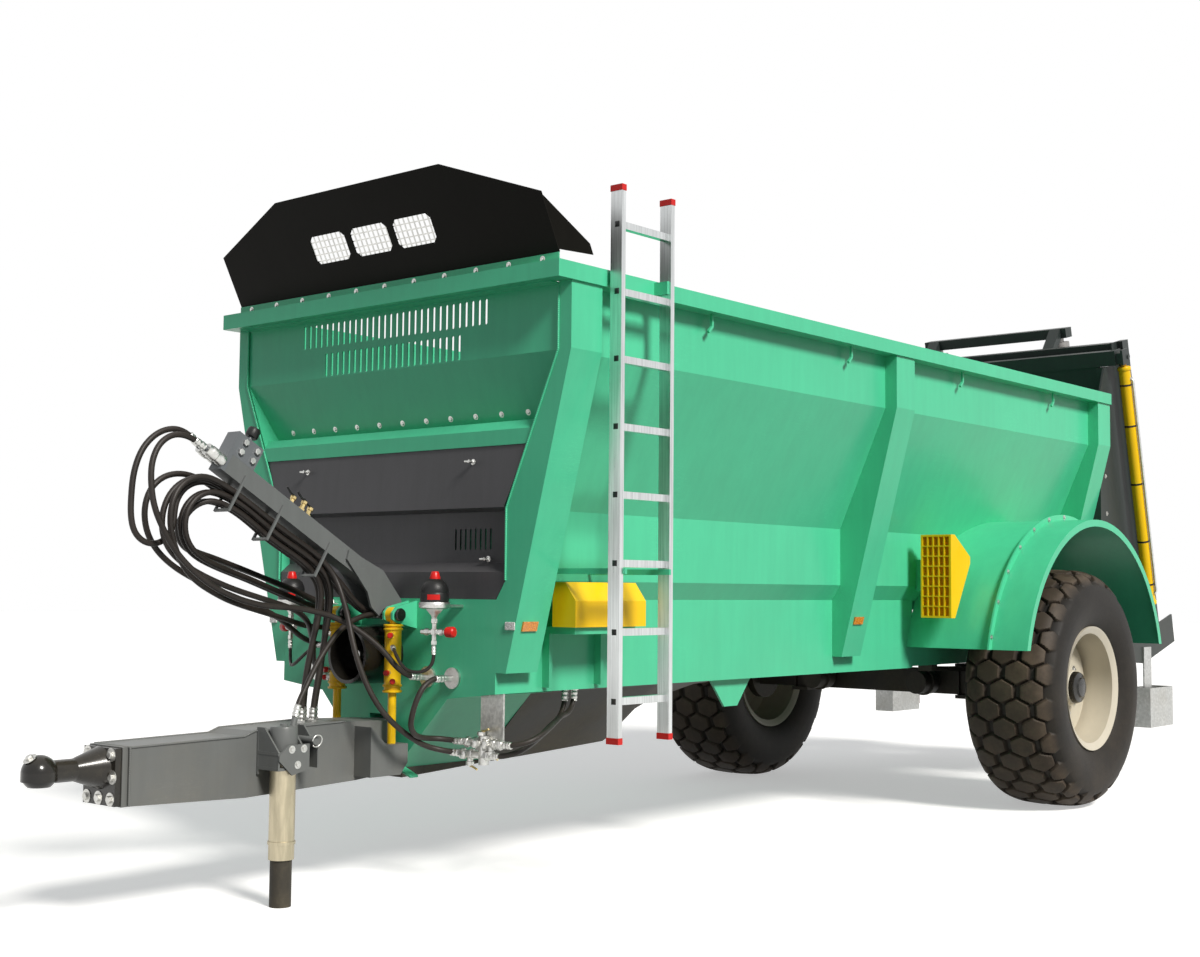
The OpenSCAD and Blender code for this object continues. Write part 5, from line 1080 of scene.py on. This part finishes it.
# Sloping strip on the front ledge between the posts, and a bent tab at the foot of the headstock

frontSet = {"wallFoot": (742, 1602), "wallSlope": 0.4389, "inset": 8, "low": 1928.5, "high": 1968,
            "front": -92, "fold": -132, "back": -199.5, "tabX": (-104, -58),
            "tab": [(100, 505), (225, 458), (222, 450), (97, 497)]}


def makeFrontDress(s):
    # The strip's section at each end, where the wall's slope puts it, and the tab's section at both its sides
    def wallAt(z):
        return s["wallFoot"][0] + s["wallSlope"] * (z - s["wallFoot"][1]) - s["inset"]
    strip = []
    for side in (1, -1):
        near, far = side * wallAt(s["low"]), side * wallAt(s["high"])
        strip.append([(s["front"], near, s["low"]), (s["fold"], far, s["high"]), (s["back"], far, s["high"]),
                      (s["back"], near, s["low"])])
    tab = [[(x, y, z) for y, z in s["tab"]] for x in s["tabX"]]
    putShapes("front_strip", [sectionShape(strip), sectionShape(tab)], greenPaint, "green_paint", sharp=25)


makeFrontDress(frontSet)

# Brake couplings: unions, taps and levers round the two pipes

brakeSet = {"x": -122, "unions": {620: (505, 548, 612, 662, 694), 570: (478, 530, 604, 622)},
            "taps": ((520, 570, -1), (585, 620, 1), (640, 620, -1)), "leverUp": 0.049, "leverRadius": 0.005,
            "lever": ((0, 0, 0), (0.004, 0.020, 0.002), (0.006, 0.048, 0.012)),
            "union": [(0.0005, -0.011), (0.021, -0.011), (0.0235, -0.008), (0.0235, 0.008), (0.021, 0.011),
                      (0.0005, 0.011)],
            "tap": [(0.0005, 0.0), (0.013, 0.0), (0.013, 0.030), (0.018, 0.032), (0.018, 0.046),
                    (0.011, 0.050), (0.0005, 0.051)]}


def makeBrakeDress(s):
    # Six-sided unions along each pipe, taps up or down from it and forward, and a bent lever on each tap
    metal, dark = [], []
    for z, rows in s["unions"].items():
        metal += [latheShape(s["union"], spotAt(s["x"], y, z), (0, 1, 0), 6) for y in rows]
    for y, z, way in s["taps"]:
        foot = spotAt(s["x"], y, z)
        metal += [latheShape(s["tap"], foot, (0, 0, way), 18), latheShape(s["tap"], foot, (1, 0, 0), 6)]
        lever = foot + [0, 0, way * s["leverUp"]] + np.array(s["lever"]) * [1, 1, way]
        dark.append(tubeShape(lever, s["leverRadius"], 10))
    putShapes("brake_unions", metal, zinc, "zinc")
    putShapes("brake_levers", dark, brass, "zinc")


makeBrakeDress(brakeSet)
print("cylinders, drawbar, keel, front and brake couplings dressed")

# Stage and light

stageSet = {"floor": 0.80, "bounce": 0.20, "lift": 0.42, "size": 60.0, "floorRough": 0.9, "floorShine": 0.1,
            "key": 4.0, "fill": 0.25,
            "sun": (-0.20, -0.88, -0.74), "sunSpread": 14, "sunColour": (1.0, 0.965, 0.91),
            "skyColour": (0.93, 0.97, 1.0, 1)}


def seenRay(tree):
    # One where the camera, a mirror or glass looks, and nothing where light is gathered
    rays = tree.nodes.new("ShaderNodeLightPath").outputs
    direct = plus(tree, rays["Is Camera Ray"], rays["Is Glossy Ray"])
    return plus(tree, direct, rays["Is Transmission Ray"], clamp=True)


def makeFloor(s):
    # Seen straight or in metal the floor is pale and lifted toward white, and its shadows stay
    m = bpy.data.materials.new("paleFloor")
    m.use_nodes = True
    tree = m.node_tree
    bsdf = tree.nodes["Principled BSDF"].inputs
    bsdf["Roughness"].default_value = s["floorRough"]
    bsdf["Specular IOR Level"].default_value = s["floorShine"]
    bsdf["Emission Color"].default_value = (1, 1, 1, 1)
    seen = seenRay(tree)
    tree.links.new(times(tree, seen, s["lift"]), bsdf["Emission Strength"])
    tree.links.new(mixColour(tree, seen, (s["bounce"],) * 3, (s["floor"],) * 3), bsdf["Base Color"])
    half = s["size"]
    corners = [(-half, -half, 0), (half, -half, 0), (half, half, 0), (-half, half, 0)]
    mesh = bpy.data.meshes.new("floor")
    mesh.from_pydata(corners, [], [(0, 1, 2, 3)])
    mesh.materials.append(m)
    floor = bpy.data.objects.new("floor", mesh)
    scene.collection.objects.link(floor)


def makeLight(s):
    # A dim sky that is white where it is seen, and one warm sun
    world = bpy.data.worlds.new("studio")
    scene.world = world
    world.use_nodes = True
    tree = world.node_tree
    tree.nodes.clear()
    sky = node(tree, "ShaderNodeBackground", {0: s["skyColour"], 1: s["fill"]})
    white = node(tree, "ShaderNodeBackground", {0: (1, 1, 1, 1), 1: 1.0})
    mix = node(tree, "ShaderNodeMixShader", {0: seenRay(tree), 1: sky.outputs[0], 2: white.outputs[0]})
    node(tree, "ShaderNodeOutputWorld", {0: mix.outputs[0]})
    sun = bpy.data.lights.new("keySun", "SUN")
    sun.energy, sun.angle, sun.color = s["key"], math.radians(s["sunSpread"]), s["sunColour"]
    lamp = bpy.data.objects.new("keySun", sun)
    scene.collection.objects.link(lamp)
    lamp.rotation_euler = Vector(s["sun"]).to_track_quat("-Z", "Y").to_euler()


makeFloor(stageSet)
makeLight(stageSet)
scene.view_settings.view_transform = "Standard"
